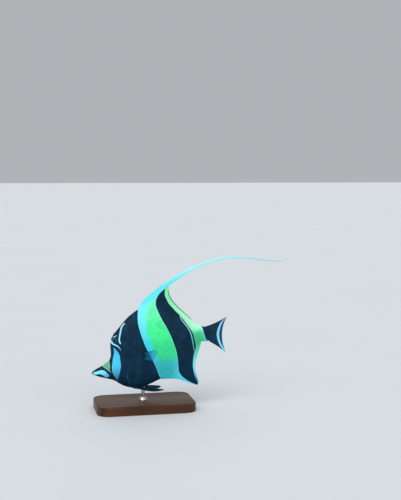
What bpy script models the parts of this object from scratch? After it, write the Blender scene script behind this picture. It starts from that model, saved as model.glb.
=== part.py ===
"""A life-size moorish idol, posed nose-down as it swims, on a plain display stand.

The fish has its own frame, in millimetres: x runs from the tip of the snout to the tail, y to the
fish's right, and z up its back. An empty carries that frame, tips it nose-down and holds it over the
stand. The world origin is the middle of the underside of the stand's base, with +X towards the tail
and +Z up.
"""

import math

import bmesh
import bpy
import numpy as np
from mathutils import Matrix, Vector

MM = 0.001
GAP = 0.3  # air left between pieces that meet

# Pose and stand
PITCH_DEG = 8.6
FISH_ORIGIN = (-69.3, 0.0, 51.0)  # tip of the snout, in the world
BASE_SIZE = (132.0, 78.0, 12.0)
BASE_CORNER_RADIUS = 16.0
BASE_EDGE_BEVEL = 1.6
ROD_RADIUS = 2.3
ROD_SOCKET_DEPTH = 6.0
ROD_TOP = (66.0, -18.0)  # x and z in the fish's frame, inside the belly
COLLAR_RADIUS, COLLAR_TOP_RADIUS, COLLAR_HEIGHT = 6.0, 4.3, 3.5

# Trunk: one row for each station, as top x, top z, bottom x, bottom z and half width
TRUNK_ROWS = np.array([
    (0.6, 1.5, 0.7, -1.9, 2.3),  # lips
    (5.6, 4.0, 5.7, -5.1, 3.3),  # gape
    (11.9, 6.1, 12.5, -8.4, 4.3),  # middle of the snout
    (19.3, 9.2, 19.9, -11.6, 5.6),  # root of the snout
    (25.3, 13.0, 26.8, -15.0, 7.1),  # foot of the face
    (28.3, 20.8, 31.7, -19.2, 8.6),  # face
    (29.5, 32.2, 37.0, -23.6, 9.8),  # front of the eye
    (33.4, 42.8, 43.1, -27.1, 10.9),  # brow
    (43.7, 52.8, 50.3, -29.8, 11.9),  # back of the eye
    (57.6, 64.4, 59.2, -30.8, 12.6),  # nape
    (73.4, 72.6, 70.8, -29.6, 12.6),  # start of the dorsal fin
    (90.4, 75.4, 84.7, -26.0, 11.8),
    (107.0, 70.2, 99.5, -20.6, 10.0),
    (122.9, 60.2, 115.2, -11.3, 7.8),
    (136.8, 48.9, 130.0, 0.0, 5.6),
    (147.6, 37.6, 145.6, 13.6, 4.2),
    (156.7, 33.7, 160.0, 14.4, 3.4),  # end of the tail stalk
])
SNOUT_ROUNDING, SNOUT_END_SIZE = 0.8, 0.55  # length of the rounded end of the lips, and size of its face
DORSAL_START, DORSAL_END = 10.0, 15.85  # stations along the back
ANAL_START, ANAL_END = 11.2, 15.4
STALK_START = 14.6  # station where the tail stalk is parted from the torso
GILL_TOP, GILL_BULGE, GILL_DROP = 8.9, 0.78, 2.1  # stations that the edge of the gill cover passes through
GILL_STEP = 0.7  # height of the gill cover over the torso behind it
GILL_STEP_TOP = (0.22, 0.42)  # shares of the way down over which the step grows from nothing
GILL_STEP_LENGTH = 0.35  # share of the torso over which the step behind the gill cover fades
RIDGE_HALF = 0.5  # half width of the rounded back and belly
FIN_ROOT_HALF = 1.15  # half width of the flat that a fin stands on
FIN_RAMP = (-0.7, 0.3)  # stations about the start of a fin over which the ridge widens into that flat
SIDE_POWER, BELLY_POWER, FIN_SIDE_POWER = 0.52, 0.42, 0.80  # how full a section is: less is fuller
BELLY_STATIONS = (6.0, 8.0)  # stations over which the belly grows fuller than the back
SWELL_FADE = 0.06  # share of the way down over which the swellings of eye and lips fade at back and belly
HEAD_RINGS, HEAD_SIDE_POINTS, HEAD_CROWDING = 33, 19, 1.15  # rings crowd to the snout
TORSO_RINGS, TORSO_SIDE_POINTS, STALK_RINGS = 18, 15, 5

# Head
EYE_CENTRE = (36.4, 4.9, 38.8)
EYE_RADIUS, EYE_HALF_DEPTH = 4.4, 3.4
EYE_AXIS = (-0.32, 0.94, 0.12)
EYE_BULGE, EYE_BULGE_WIDTH = 0.9, 1.35  # height, and width in radii of the eye
MOUTH_FRONT, MOUTH_BACK = (-3.0, -0.1), (5.4, -2.0)
MOUTH_HALF_GAPE, MOUTH_BACK_SHARE = 0.5, 0.5  # at the front, and what is left of it at the back
LIP_SWELL, LIP_STATION, LIP_WIDTH = 0.55, 0.3, 0.42
NOSTRIL_DEPTH = 0.9
NOSTRILS = ((31.4, 32.2, 0.75), (33.4, 31.6, 0.6))  # x, z and radius
HORN_FOOT, HORN_TIP = (38.2, 2.8, 45.0), (35.9, 5.6, 46.0)
HORN_RADIUS, HORN_TIP_RADIUS = 1.2, 0.3
HORN_SOCKET_GAP = 0.42  # more than GAP, because the socket is a cone

# Dorsal and anal fins, in the plane of the body
DORSAL_EDGE = ((116.4, 103.2), (119.4, 96.2), (118.4, 88.2), (119.8, 81.0), (124.4, 72.0), (131.2, 62.6),
               (139.6, 51.6), (147.9, 40.6), (155.9, 35.4))
DORSAL_LEAD_BULGE = (0.0, 3.9, 4.2, 3.1, 1.9, 0.0)
ANAL_EDGE = ((137.2, -43.4), (140.0, -40.0), (138.6, -30.0), (138.6, -19.0), (141.4, -8.9), (145.3, -0.4),
             (149.2, 7.6), (151.2, 13.6))
ANAL_LEAD_BULGE = (0.0, -1.5, -3.5, -2.8, -0.9, 0.0)
RAY_END_SHARES = (0.0, 0.12, 0.39, 0.74, 1.0)  # where along the free edge each quarter of the rays ends
DORSAL_RAYS, DORSAL_SPINES = 33, 5
ANAL_RAYS, ANAL_SPINES = 28, 3
MEMBRANE_HALF, EDGE_HALF, RAY_RIDGE = 0.3, 0.2, 0.16
SPINE_HEIGHT, RIDGE_FADE = 1.9, 0.6  # spines over rays, and what a ridge loses on its way out
FIN_ROWS = 9
FIN_FLESH = 9.0  # length over which a fin thins from its root to its membrane
FIN_EDGE_START = 0.7  # share of the ray where the membrane begins to thin to its edge
BULGE_POWER = 4  # how fast the bulge of the leading edge is lost from ray to ray

# Streamer that the third dorsal spine is drawn out into
STREAMER_LINE = ((118.2, 99.9), (127.5, 104.2), (139.5, 109.2), (153.0, 114.0), (170.0, 118.3),
                 (187.5, 120.8), (203.0, 121.0), (219.0, 119.0), (236.0, 115.0), (253.0, 110.0),
                 (268.0, 105.8), (280.0, 103.7), (290.0, 103.8))
STREAMER_HALF_HEIGHT = (3.1, 2.85, 2.45, 2.0, 1.58, 1.25, 1.03, 0.85, 0.68, 0.5, 0.3)
STREAMER_HALF_THICKNESS = (0.75, 0.7, 0.65, 0.6, 0.55, 0.5, 0.5, 0.45, 0.4, 0.35, 0.3)
STREAMER_SWAY = 7.0
STREAMER_PARTS = ("root", "middle", "tip")
STREAMER_STATIONS, STREAMER_SIDES = 11, 8

# Tail fin, about the end of the stalk
TAIL_DROOP_DEG = 10.0
TAIL_UPPER_TIP, TAIL_LOWER_TIP, TAIL_FORK = (30.6, 23.8), (30.6, -26.8), (24.2, -1.2)
TAIL_RAYS, TAIL_ROWS = 17, 10
TAIL_ROOT_HALF, TAIL_CORNER_HALF, TAIL_ROUNDNESS = 2.6, 0.69, 0.97  # section of the root
TAIL_ROOT_INSET = 0.6  # how far the root stays inside the end of the stalk, at top and bottom
TAIL_WAIST = 0.10  # how much the upper and lower edges are drawn in between root and tips
TAIL_FLESH, TAIL_EDGE_START = 0.45, 0.75  # shares of the rays

# Paired fins, given for the fish's right side and mirrored: the ends of the root, the way the rays lie,
# the way into the body, the length of the longest ray, and the angles of the first and last rays
PECTORAL = {
    "first": (67.0, 12.5, 15.8), "last": (66.6, 12.6, 8.2), "axis": (0.66, 0.75, 0.04),
    "inward": (-0.66, -0.75, 0.0), "length": 30.0, "fan_deg": (-12.0, 7.0), "cup": 0.06,
}
PELVIC = {
    "first": (45.5, 5.3, -25.8), "last": (52.0, 3.3, -30.4), "axis": (0.955, 0.16, -0.265),
    "inward": (-0.1, -0.55, 0.83), "length": 46.0, "fan_deg": (-1.0, 13.0), "cup": 0.0,
}
PECTORAL_RAYS, PELVIC_RAYS, PAIRED_ROWS = 15, 6, 9
PAIRED_SUNK, PAIRED_SLOT_ROWS = 2.0, 6
PAIRED_ROOT_HALF, PAIRED_FLESH, PAIRED_EDGE_START = 0.85, 0.35, 0.6
PAIRED_FIRST_STEP = 0.07  # share of the ray that the first row beyond the root reaches
PAIRED_RIDGE_START = (0.02, 0.2)  # shares of the ray over which its ridge grows from nothing

COLOURS = {  # colour, roughness and metallic value
    "skin_black": ((0.012, 0.020, 0.030), 0.42, 0.0),
    "skin_banded": ((0.10, 0.78, 0.42), 0.40, 0.0),
    "skin_yellow": ((0.24, 0.80, 0.30), 0.40, 0.0),
    "fin_pale": ((0.30, 0.88, 0.92), 0.45, 0.0),
    "fin_clear": ((0.22, 0.42, 0.52), 0.35, 0.0),
    "eye_dark": ((0.010, 0.012, 0.016), 0.08, 0.0),
    "stand_wood": ((0.16, 0.085, 0.045), 0.45, 0.0),
    "stand_steel": ((0.62, 0.62, 0.63), 0.28, 1.0),
}


def clear_scene():
    for obj in list(bpy.data.objects):
        bpy.data.objects.remove(obj, do_unlink=True)


def material(name):
    found = bpy.data.materials.get(name)
    if found:
        return found
    colour, roughness, metallic = COLOURS[name]
    made = bpy.data.materials.new(name)
    made.use_nodes = True
    shader = made.node_tree.nodes["Principled BSDF"]
    shader.inputs["Base Color"].default_value = (*colour, 1.0)
    shader.inputs["Roughness"].default_value = roughness
    shader.inputs["Metallic"].default_value = metallic
    made.diffuse_color = (*colour, 1.0)
    return made


def spline(knots, at):
    """Natural cubic spline through knots at 0, 1, 2 and so on, read at the parameters in at."""
    knots = np.asarray(knots, float)
    count = len(knots)
    system = np.zeros((count, count))
    right = np.zeros_like(knots)
    system[0, 0] = system[-1, -1] = 1.0
    for i in range(1, count - 1):
        system[i, i - 1:i + 2] = (1.0, 4.0, 1.0)
        right[i] = 6.0 * (knots[i - 1] - 2.0 * knots[i] + knots[i + 1])
    bends = np.linalg.solve(system, right)
    at = np.clip(np.asarray(at, float), 0.0, count - 1)
    low = np.minimum(at.astype(int), count - 2)
    share = at - low
    if knots.ndim > 1:
        share = share[..., None]
    rest = 1.0 - share
    return (rest * knots[low] + share * knots[low + 1]
            + ((rest ** 3 - rest) * bends[low] + (share ** 3 - share) * bends[low + 1]) / 6.0)


def fine_line(knots):
    """Many points along the spline through knots, and the length from its start to each of them."""
    fine = spline(knots, np.linspace(0.0, len(knots) - 1, 40 * len(knots)))
    steps = np.linalg.norm(np.diff(fine, axis=0), axis=1)
    return fine, np.concatenate([[0.0], np.cumsum(steps)])


def line_length(knots):
    return fine_line(knots)[1][-1]


def evenly(knots, shares):
    """Points at these shares of the length of the spline through knots."""
    fine, length = fine_line(knots)
    wanted = np.asarray(shares, float) * length[-1]
    return np.stack([np.interp(wanted, length, fine[:, axis]) for axis in range(fine.shape[1])], axis=-1)


def ramp(low, high, value):
    """Smooth step from 0 at low to 1 at high."""
    share = np.clip((np.asarray(value, float) - low) / (high - low), 0.0, 1.0)
    return share * share * (3.0 - 2.0 * share)


def turned(point, degrees):
    """A point of the plane of the body, turned about the origin from x towards z."""
    angle = math.radians(degrees)
    x, z = point
    return np.array((x * math.cos(angle) - z * math.sin(angle), x * math.sin(angle) + z * math.cos(angle)))


def trunk_points(station, down):
    """x, half width and z of the trunk at a station and a share of the way from back to belly."""
    row = spline(TRUNK_ROWS, station)
    x = row[..., 0] + (row[..., 2] - row[..., 0]) * down
    z = row[..., 1] + (row[..., 3] - row[..., 1]) * down
    across = 2.0 * down - 1.0
    back_fin = ramp(DORSAL_START + FIN_RAMP[0], DORSAL_START + FIN_RAMP[1], station)
    belly_fin = ramp(ANAL_START + FIN_RAMP[0], ANAL_START + FIN_RAMP[1], station)
    fin = np.where(across < 0.0, back_fin, belly_fin)
    edge = RIDGE_HALF + (FIN_ROOT_HALF - RIDGE_HALF) * fin
    belly = ramp(*BELLY_STATIONS, station) * (across > 0.0)
    side_power = SIDE_POWER + (BELLY_POWER - SIDE_POWER) * belly
    power = side_power + (FIN_SIDE_POWER - side_power) * fin
    half = edge + (row[..., 4] - edge) * np.maximum(1.0 - across ** 2, 0.0) ** power
    inside = ramp(0.0, SWELL_FADE, down) * ramp(1.0, 1.0 - SWELL_FADE, down)
    away = np.hypot(x - EYE_CENTRE[0], z - EYE_CENTRE[2]) / (EYE_RADIUS * EYE_BULGE_WIDTH)
    half = half + EYE_BULGE * np.exp(-away ** 2) * inside
    half = half + LIP_SWELL * np.exp(-((station - LIP_STATION) / LIP_WIDTH) ** 2) * inside
    return x, half, z


def gill_station(down):
    """Station of the edge of the gill cover at a share of the way from back to belly."""
    return GILL_TOP + GILL_BULGE * np.sin(math.pi * down) - GILL_DROP * down ** 2


def station_shift(station, down, distance):
    """A distance along the trunk as a number of stations."""
    step = 0.01
    here, there = trunk_points(station, down), trunk_points(station + step, down)
    return distance * step / np.hypot(there[0] - here[0], there[2] - here[2])


def new_object(name, points, faces, colour, parent=None, smooth_deg=40.0):
    """An object from points in millimetres and faces as lists of indices, with its normals facing out."""
    mesh = bpy.data.meshes.new(name)
    mesh.from_pydata([tuple(MM * value for value in point) for point in points], [], faces)
    shell = bmesh.new()
    shell.from_mesh(mesh)
    bmesh.ops.recalc_face_normals(shell, faces=shell.faces)
    if shell.calc_volume(signed=True) < 0.0:
        bmesh.ops.reverse_faces(shell, faces=shell.faces)
    shell.to_mesh(mesh)
    shell.free()
    mesh.shade_smooth()
    mesh.set_sharp_from_angle(angle=math.radians(smooth_deg))
    obj = bpy.data.objects.new(name, mesh)
    bpy.context.scene.collection.objects.link(obj)
    if colour:
        mesh.materials.append(material(colour))
    obj.parent = parent
    return obj


def split_quads(quads):
    """Each four-sided face as two triangles, along the diagonal from its first corner."""
    return [triangle for a, b, c, d in quads for triangle in ((a, b, c), (a, c, d))]


def tube_faces(rows, ring):
    """Triangles of the side of a tube of rings that follow one another."""
    quads = []
    for row in range(rows - 1):
        for k in range(ring):
            after = (k + 1) % ring
            low, high = row * ring, (row + 1) * ring
            quads.append((low + k, low + after, high + after, high + k))
    return split_quads(quads)


def cap_faces(start, ring):
    """Triangles that close a ring of left points and then right points, as strips from side to side."""
    last = start + ring - 1
    quads = [(start + k, start + k + 1, last - 1 - k, last - k) for k in range(ring // 2 - 1)]
    return split_quads(quads)


def trunk_piece(name, stations, downs, colour, parent, steps=None, rounded=False):
    """A length of the trunk. stations has one row of stations for each ring, one for each share down.

    steps says, ring by ring, how far the side is set in behind the gill cover.
    """
    if steps is None:
        steps = np.zeros(len(stations))
    below = ramp(*GILL_STEP_TOP, downs)
    points = []
    for ring_stations, step in zip(stations, steps):
        x, half, z = trunk_points(ring_stations, downs)
        half = half - step * below * np.maximum(1.0 - FIN_ROOT_HALF / half, 0.0)
        points.extend(zip(x, -half, z))
        points.extend(zip(x[::-1], half[::-1], z[::-1]))
    ring = 2 * len(downs)
    if rounded:
        first = np.array(points[:ring])
        centre = first.mean(axis=0)
        end = centre + (first - centre) * SNOUT_END_SIZE - (SNOUT_ROUNDING, 0.0, 0.0)
        points = [tuple(point) for point in end] + points
    rows = len(points) // ring
    faces = tube_faces(rows, ring) + cap_faces(0, ring) + cap_faces((rows - 1) * ring, ring)
    return new_object(name, points, faces, colour, parent)


def sheet_solid(name, middle, normals, halves, colour, parent):
    """A closed sheet from a grid of points, with normals and half thicknesses, split alike on both faces."""
    count, rows = halves.shape
    offset = normals * halves[..., None]
    points = np.concatenate([(middle + offset).reshape(-1, 3), (middle - offset).reshape(-1, 3)])
    under = count * rows

    def at(i, j):
        return i * rows + j

    cells = [(i, j) for i in range(count - 1) for j in range(rows - 1)]
    top = [(at(i, j), at(i + 1, j), at(i + 1, j + 1), at(i, j + 1)) for i, j in cells]
    faces = split_quads(top)
    faces += [tuple(under + corner for corner in reversed(face)) for face in faces]
    border = [at(i, 0) for i in range(count)] + [at(count - 1, j) for j in range(1, rows)]
    border += [at(i, rows - 1) for i in range(count - 2, -1, -1)]
    border += [at(0, j) for j in range(rows - 2, 0, -1)]
    sides = [(a, a + under, b + under, b) for a, b in zip(border, border[1:] + border[:1])]
    return new_object(name, points, faces + split_quads(sides), colour, parent, smooth_deg=60.0)


def ray_ridges(count, rows, spines=0):
    """Height of the rays over the membrane on a grid whose even columns are rays, with higher spines."""
    columns = np.arange(count)
    height = np.where(columns % 2 == 0, RAY_RIDGE, 0.0) * np.where(columns < 2 * spines, SPINE_HEIGHT, 1.0)
    fade = 1.0 - RIDGE_FADE * np.linspace(0.0, 1.0, rows)
    return height[:, None] * fade[None, :]


def median_fin(name, root_line, edge_knots, lead_bulge, rays, spines, outward, colour, parent):
    """The dorsal or anal fin: rays from the flat on the trunk to the free edge, the first one leading."""
    columns = 2 * rays - 1
    along = np.linspace(0.0, 1.0, columns)
    roots = root_line(along)
    ends = evenly(edge_knots, spline(RAY_END_SHARES, along * (len(RAY_END_SHARES) - 1)))
    out = np.linspace(0.0, 1.0, FIN_ROWS)
    lead = ends[0] - roots[0]
    lead = lead / np.linalg.norm(lead)
    aside = outward * np.array((-lead[1], lead[0]))
    bulge = spline(lead_bulge, out * (len(lead_bulge) - 1))
    plane = roots[:, None] + (ends - roots)[:, None] * out[None, :, None]
    plane = plane + ((1.0 - along) ** BULGE_POWER)[:, None, None] * bulge[None, :, None] * aside
    middle = np.stack([plane[..., 0], np.zeros_like(plane[..., 0]), plane[..., 1]], axis=-1)
    length = np.linalg.norm(ends - roots, axis=1)[:, None]
    thin = ramp(0.0, FIN_FLESH, out[None, :] * length)
    halves = FIN_ROOT_HALF + (MEMBRANE_HALF - FIN_ROOT_HALF) * thin
    halves = halves + (EDGE_HALF - MEMBRANE_HALF) * ramp(FIN_EDGE_START, 1.0, out)[None, :] * thin
    halves = halves + ray_ridges(columns, FIN_ROWS, spines) * thin
    halves[0] = halves[1]
    normals = np.broadcast_to(np.array((0.0, 1.0, 0.0)), middle.shape)
    return sheet_solid(name, middle, normals, halves, colour, parent)


def trunk_edge(first, last, down, outward):
    """The line that a fin's root follows: the back or belly between two stations, GAP clear of it."""
    def line(along):
        station = first + (last - first) * along
        step = 0.01
        here = np.stack(trunk_points(station, np.full_like(station, down))[::2], axis=-1)
        there = np.stack(trunk_points(station + step, np.full_like(station, down))[::2], axis=-1)
        way = (there - here) / np.linalg.norm(there - here, axis=1)[:, None]
        return here + GAP * outward * np.stack([-way[:, 1], way[:, 0]], axis=-1)
    return line


def tail_fin(name, colour, parent):
    """The tail fin, hinged on the end of the stalk: rays that fan out to a hollow trailing edge."""
    columns = 2 * TAIL_RAYS - 1
    top, bottom = TRUNK_ROWS[-1][0:2], TRUNK_ROWS[-1][2:4]
    centre = (top + bottom) / 2.0
    along = np.linspace(0.0, 1.0, columns)
    way = (bottom - top) / np.linalg.norm(bottom - top)
    away = np.array((-way[1], way[0]))
    inset = TAIL_ROOT_INSET * way
    roots = top + inset + (bottom - top - 2.0 * inset) * along[:, None] + GAP * away
    height = TAIL_UPPER_TIP[1] + (TAIL_LOWER_TIP[1] - TAIL_UPPER_TIP[1]) * along
    half_spread = (TAIL_UPPER_TIP[1] - TAIL_LOWER_TIP[1]) / 2.0
    hollow = ((height - TAIL_FORK[1]) / half_spread) ** 2
    reach = TAIL_FORK[0] + (TAIL_UPPER_TIP[0] - TAIL_FORK[0]) * np.minimum(hollow, 1.0)
    ends = np.array([centre + turned((r, h), -TAIL_DROOP_DEG) for r, h in zip(reach, height)])
    out = np.linspace(0.0, 1.0, TAIL_ROWS)
    spread = 2.0 * along - 1.0
    flare = 1.0 - TAIL_WAIST * 4.0 * out[None, :] * (1.0 - out[None, :]) * np.abs(spread)[:, None]
    plane = roots[:, None] + (ends - roots)[:, None] * out[None, :, None]
    middle_line = plane[columns // 2][None]
    plane = middle_line + (plane - middle_line) * flare[..., None]
    middle = np.stack([plane[..., 0], np.zeros_like(plane[..., 0]), plane[..., 1]], axis=-1)
    lens = np.sqrt(np.maximum(1.0 - (TAIL_ROUNDNESS * spread) ** 2, 0.0))
    root_half = TAIL_CORNER_HALF + (TAIL_ROOT_HALF - TAIL_CORNER_HALF) * lens
    thin = ramp(0.0, TAIL_FLESH, out)[None, :]
    halves = root_half[:, None] + (MEMBRANE_HALF - root_half[:, None]) * thin
    halves = halves + (EDGE_HALF - MEMBRANE_HALF) * ramp(TAIL_EDGE_START, 1.0, out)[None, :]
    halves = halves + ray_ridges(columns, TAIL_ROWS) * thin
    normals = np.broadcast_to(np.array((0.0, 1.0, 0.0)), middle.shape)
    return sheet_solid(name, middle, normals, halves, colour, parent)


def mirrored(vector, side):
    x, y, z = vector
    return np.array((x, side * y, z))


def paired_fin(name, side, sizes, rays, reach_of, colour, parent, grow=0.0):
    """A pectoral or pelvic fin, its root sunk in the body. grow makes the larger copy that cuts its slot."""
    columns = 2 * rays - 1
    first, last, axis, inward = [mirrored(sizes[key], side) for key in ("first", "last", "axis", "inward")]
    axis = axis / np.linalg.norm(axis)
    inward = inward / np.linalg.norm(inward)
    down = (last - first) - axis * np.dot(last - first, axis)
    down = down / np.linalg.norm(down)
    across = np.cross(axis, down)
    along = np.linspace(0.0, 1.0, columns)
    width = np.linalg.norm(last - first)
    roots = first + (last - first) * (along * (1.0 + 2.0 * grow / width) - grow / width)[:, None]
    angles = np.radians(sizes["fan_deg"][0] + (sizes["fan_deg"][1] - sizes["fan_deg"][0]) * along)
    ways = np.cos(angles)[:, None] * axis + np.sin(angles)[:, None] * down
    out = np.concatenate([[0.0, 0.0], np.geomspace(PAIRED_FIRST_STEP, 1.0, PAIRED_ROWS - 2)])
    reach = sizes["length"] * out[None, :] * reach_of(along)[:, None]
    middle = roots[:, None] + reach[..., None] * ways[:, None]
    middle[:, 0] += inward * (PAIRED_SUNK + grow)
    middle += (sizes["cup"] * reach * out[None, :])[..., None] * across * side
    halves = (PAIRED_ROOT_HALF + (MEMBRANE_HALF - PAIRED_ROOT_HALF) * ramp(0.0, PAIRED_FLESH, out))[None, :]
    halves = halves + (EDGE_HALF - MEMBRANE_HALF) * ramp(PAIRED_EDGE_START, 1.0, out)[None, :]
    halves = halves + ray_ridges(columns, PAIRED_ROWS, 1) * ramp(*PAIRED_RIDGE_START, out)[None, :] + grow
    if grow:
        middle, halves = middle[:, :PAIRED_SLOT_ROWS], halves[:, :PAIRED_SLOT_ROWS]
    normals = np.broadcast_to(across, middle.shape)
    return sheet_solid(name, middle, normals, halves, colour, parent)


def pectoral_reach(along):
    """Length of each pectoral ray from the upper one down: short, then a rounded point, then shorter."""
    return spline((0.83, 0.98, 1.0, 0.97, 0.91, 0.83, 0.73, 0.62), along * 7.0)


def pelvic_reach(along):
    """Length of each pelvic ray: the spine and first ray drawn out to a point, the last one short."""
    return np.interp(along, (0.0, 0.15, 0.4, 0.7, 1.0), (0.96, 1.0, 0.84, 0.6, 0.36))


def round_solid(name, centre, axis, radius, half_depth, colour, parent, segments=20, rings=12):
    """A flattened ball whose short half axis lies along axis."""
    shell = bmesh.new()
    bmesh.ops.create_uvsphere(shell, u_segments=segments, v_segments=rings, radius=1.0)
    turn = Vector((0.0, 0.0, 1.0)).rotation_difference(Vector(axis)).to_matrix()
    points = [turn @ Vector((radius * v.co.x, radius * v.co.y, half_depth * v.co.z)) + Vector(centre)
              for v in shell.verts]
    faces = [[v.index for v in face.verts] for face in shell.faces]
    shell.free()
    return new_object(name, points, faces, colour, parent)


def cone_solid(name, foot, tip, radius, tip_radius, colour, parent, sides=10):
    """A cone or rod from foot to tip."""
    foot, tip = Vector(foot), Vector(tip)
    shell = bmesh.new()
    bmesh.ops.create_cone(shell, cap_ends=True, segments=sides, radius1=radius, radius2=tip_radius,
                          depth=(tip - foot).length)
    turn = Vector((0.0, 0.0, 1.0)).rotation_difference(tip - foot).to_matrix()
    points = [turn @ v.co + (foot + tip) / 2.0 for v in shell.verts]
    faces = [[v.index for v in face.verts] for face in shell.faces]
    shell.free()
    return new_object(name, points, faces, colour, parent)


def streamer_piece(name, first, last, colour, parent):
    """A length of the streamer, between two shares of its whole length, as a tube of flattened rings."""
    shares = np.linspace(first, last, STREAMER_STATIONS)
    line = evenly(STREAMER_LINE, shares)
    step = 0.002
    ahead = evenly(STREAMER_LINE, np.minimum(shares + step, 1.0))
    ahead = ahead - evenly(STREAMER_LINE, np.maximum(shares - step, 0.0))
    ahead = ahead / np.linalg.norm(ahead, axis=1)[:, None]
    tall = spline(STREAMER_HALF_HEIGHT, shares * (len(STREAMER_HALF_HEIGHT) - 1))
    thick = spline(STREAMER_HALF_THICKNESS, shares * (len(STREAMER_HALF_THICKNESS) - 1))
    points = []
    for share, (x, z), (dx, dz), up, out in zip(shares, line, ahead, tall, thick):
        y = STREAMER_SWAY * share ** 2
        for k in range(STREAMER_SIDES):
            angle = 2.0 * math.pi * (k + 0.5) / STREAMER_SIDES
            rise = up * math.cos(angle)
            points.append((x - dz * rise, y + out * math.sin(angle), z + dx * rise))
    last_ring = (STREAMER_STATIONS - 1) * STREAMER_SIDES
    faces = tube_faces(STREAMER_STATIONS, STREAMER_SIDES)
    faces += [list(range(STREAMER_SIDES)), list(range(last_ring, last_ring + STREAMER_SIDES))]
    return new_object(name, points, faces, colour, parent)


def cut(obj, cutters):
    """Takes the cutters out of obj and removes them, keeping the largest closed surface."""
    group = bpy.data.collections.new(obj.name + "_cutters")
    bpy.context.scene.collection.children.link(group)
    for cutter in cutters:
        bpy.context.scene.collection.objects.unlink(cutter)
        group.objects.link(cutter)
    modifier = obj.modifiers.new("cuts", "BOOLEAN")
    modifier.operation, modifier.solver = "DIFFERENCE", "EXACT"
    modifier.operand_type, modifier.collection = "COLLECTION", group
    bpy.context.view_layer.update()
    result = bpy.data.meshes.new_from_object(obj.evaluated_get(bpy.context.evaluated_depsgraph_get()))
    obj.modifiers.clear()
    obj.data = result
    for cutter in cutters:
        bpy.data.objects.remove(cutter, do_unlink=True)
    bpy.data.collections.remove(group)
    keep_largest(result)


def keep_largest(mesh):
    """Drops every loose shell of the mesh but the one with the most volume."""
    shell = bmesh.new()
    shell.from_mesh(mesh)
    bmesh.ops.triangulate(shell, faces=shell.faces)
    shell.verts.ensure_lookup_table()
    unseen, islands = set(shell.verts), []
    while unseen:
        stack, island = [next(iter(unseen))], set()
        while stack:
            vertex = stack.pop()
            if vertex in island:
                continue
            island.add(vertex)
            stack.extend(edge.other_vert(vertex) for edge in vertex.link_edges)
        unseen -= island
        islands.append(island)

    def volume(island):
        faces = {face for vertex in island for face in vertex.link_faces}
        return abs(sum(f.verts[0].co.dot(f.verts[1].co.cross(f.verts[2].co)) for f in faces))

    islands.sort(key=volume)
    loose = [vertex for island in islands[:-1] for vertex in island]
    bmesh.ops.delete(shell, geom=loose, context="VERTS")
    shell.to_mesh(mesh)
    shell.free()


def fish_frame():
    """The empty that tips the fish nose-down and holds it over the stand."""
    frame = bpy.data.objects.new("fish_frame", None)
    bpy.context.scene.collection.objects.link(frame)
    frame.location = [MM * value for value in FISH_ORIGIN]
    frame.rotation_euler = (0.0, -math.radians(PITCH_DEG), 0.0)
    return frame


def in_fish_frame(world_point):
    """A world point in millimetres, read in the fish's frame."""
    x, z = turned((world_point[0] - FISH_ORIGIN[0], world_point[2] - FISH_ORIGIN[2]), -PITCH_DEG)
    return np.array((x, world_point[1], z))


def in_world(fish_point):
    """A point of the fish's frame as a world point in millimetres."""
    x, z = turned((fish_point[0], fish_point[2]), PITCH_DEG)
    return np.array((x + FISH_ORIGIN[0], fish_point[1], z + FISH_ORIGIN[2]))


def make_trunk(frame):
    downs = 0.5 - 0.5 * np.cos(np.linspace(0.0, math.pi, HEAD_SIDE_POINTS))
    edge = gill_station(downs)
    rows = np.linspace(0.0, 1.0, HEAD_RINGS) ** HEAD_CROWDING
    head = trunk_piece("head", rows[:, None] * edge[None, :], downs, "skin_black", frame, rounded=True)

    downs = 0.5 - 0.5 * np.cos(np.linspace(0.0, math.pi, TORSO_SIDE_POINTS))
    edge = gill_station(downs)
    start = edge + station_shift(edge, downs, GAP)
    share = np.linspace(0.0, 1.0, TORSO_RINGS)[:, None]
    torso = trunk_piece("torso", start + (STALK_START - start) * share, downs, "skin_banded", frame,
                        steps=GILL_STEP * (1.0 - ramp(0.0, GILL_STEP_LENGTH, share[:, 0])))

    start = STALK_START + station_shift(np.full_like(downs, STALK_START), downs, GAP)
    share = np.linspace(0.0, 1.0, STALK_RINGS)[:, None]
    trunk_piece("tail_stalk", start + (len(TRUNK_ROWS) - 1 - start) * share, downs, "skin_yellow", frame)
    return head, torso


def make_head_details(frame, head):
    """Eyes, horns, nostrils and the line of the mouth."""
    cutters = []
    for side, word in ((-1, "left"), (1, "right")):
        centre, axis = mirrored(EYE_CENTRE, side), mirrored(EYE_AXIS, side)
        round_solid("eye_" + word, centre, axis, EYE_RADIUS, EYE_HALF_DEPTH, "eye_dark", frame)
        radius, depth = EYE_RADIUS + GAP, EYE_HALF_DEPTH + GAP
        cutters.append(round_solid("socket", centre, axis, radius, depth, None, frame))
        foot, tip = mirrored(HORN_FOOT, side), mirrored(HORN_TIP, side)
        cone_solid("horn_" + word, foot, tip, HORN_RADIUS, HORN_TIP_RADIUS, "skin_black", frame)
        ahead = GAP * (tip - foot) / np.linalg.norm(tip - foot)
        radii = [radius + HORN_SOCKET_GAP for radius in (HORN_RADIUS, HORN_TIP_RADIUS)]
        cutters.append(cone_solid("horn_socket", foot - ahead, tip + ahead, *radii, None, frame))
        for x, z, radius in NOSTRILS:
            outside = side * trunk_half_width_at(x, z)
            cutters.append(round_solid("nostril", (x, outside, z), (0.0, 1.0, 0.0), radius, NOSTRIL_DEPTH,
                                       None, frame, 10, 6))
    cutters.append(mouth_wedge(frame))
    cut(head, cutters)


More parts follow.
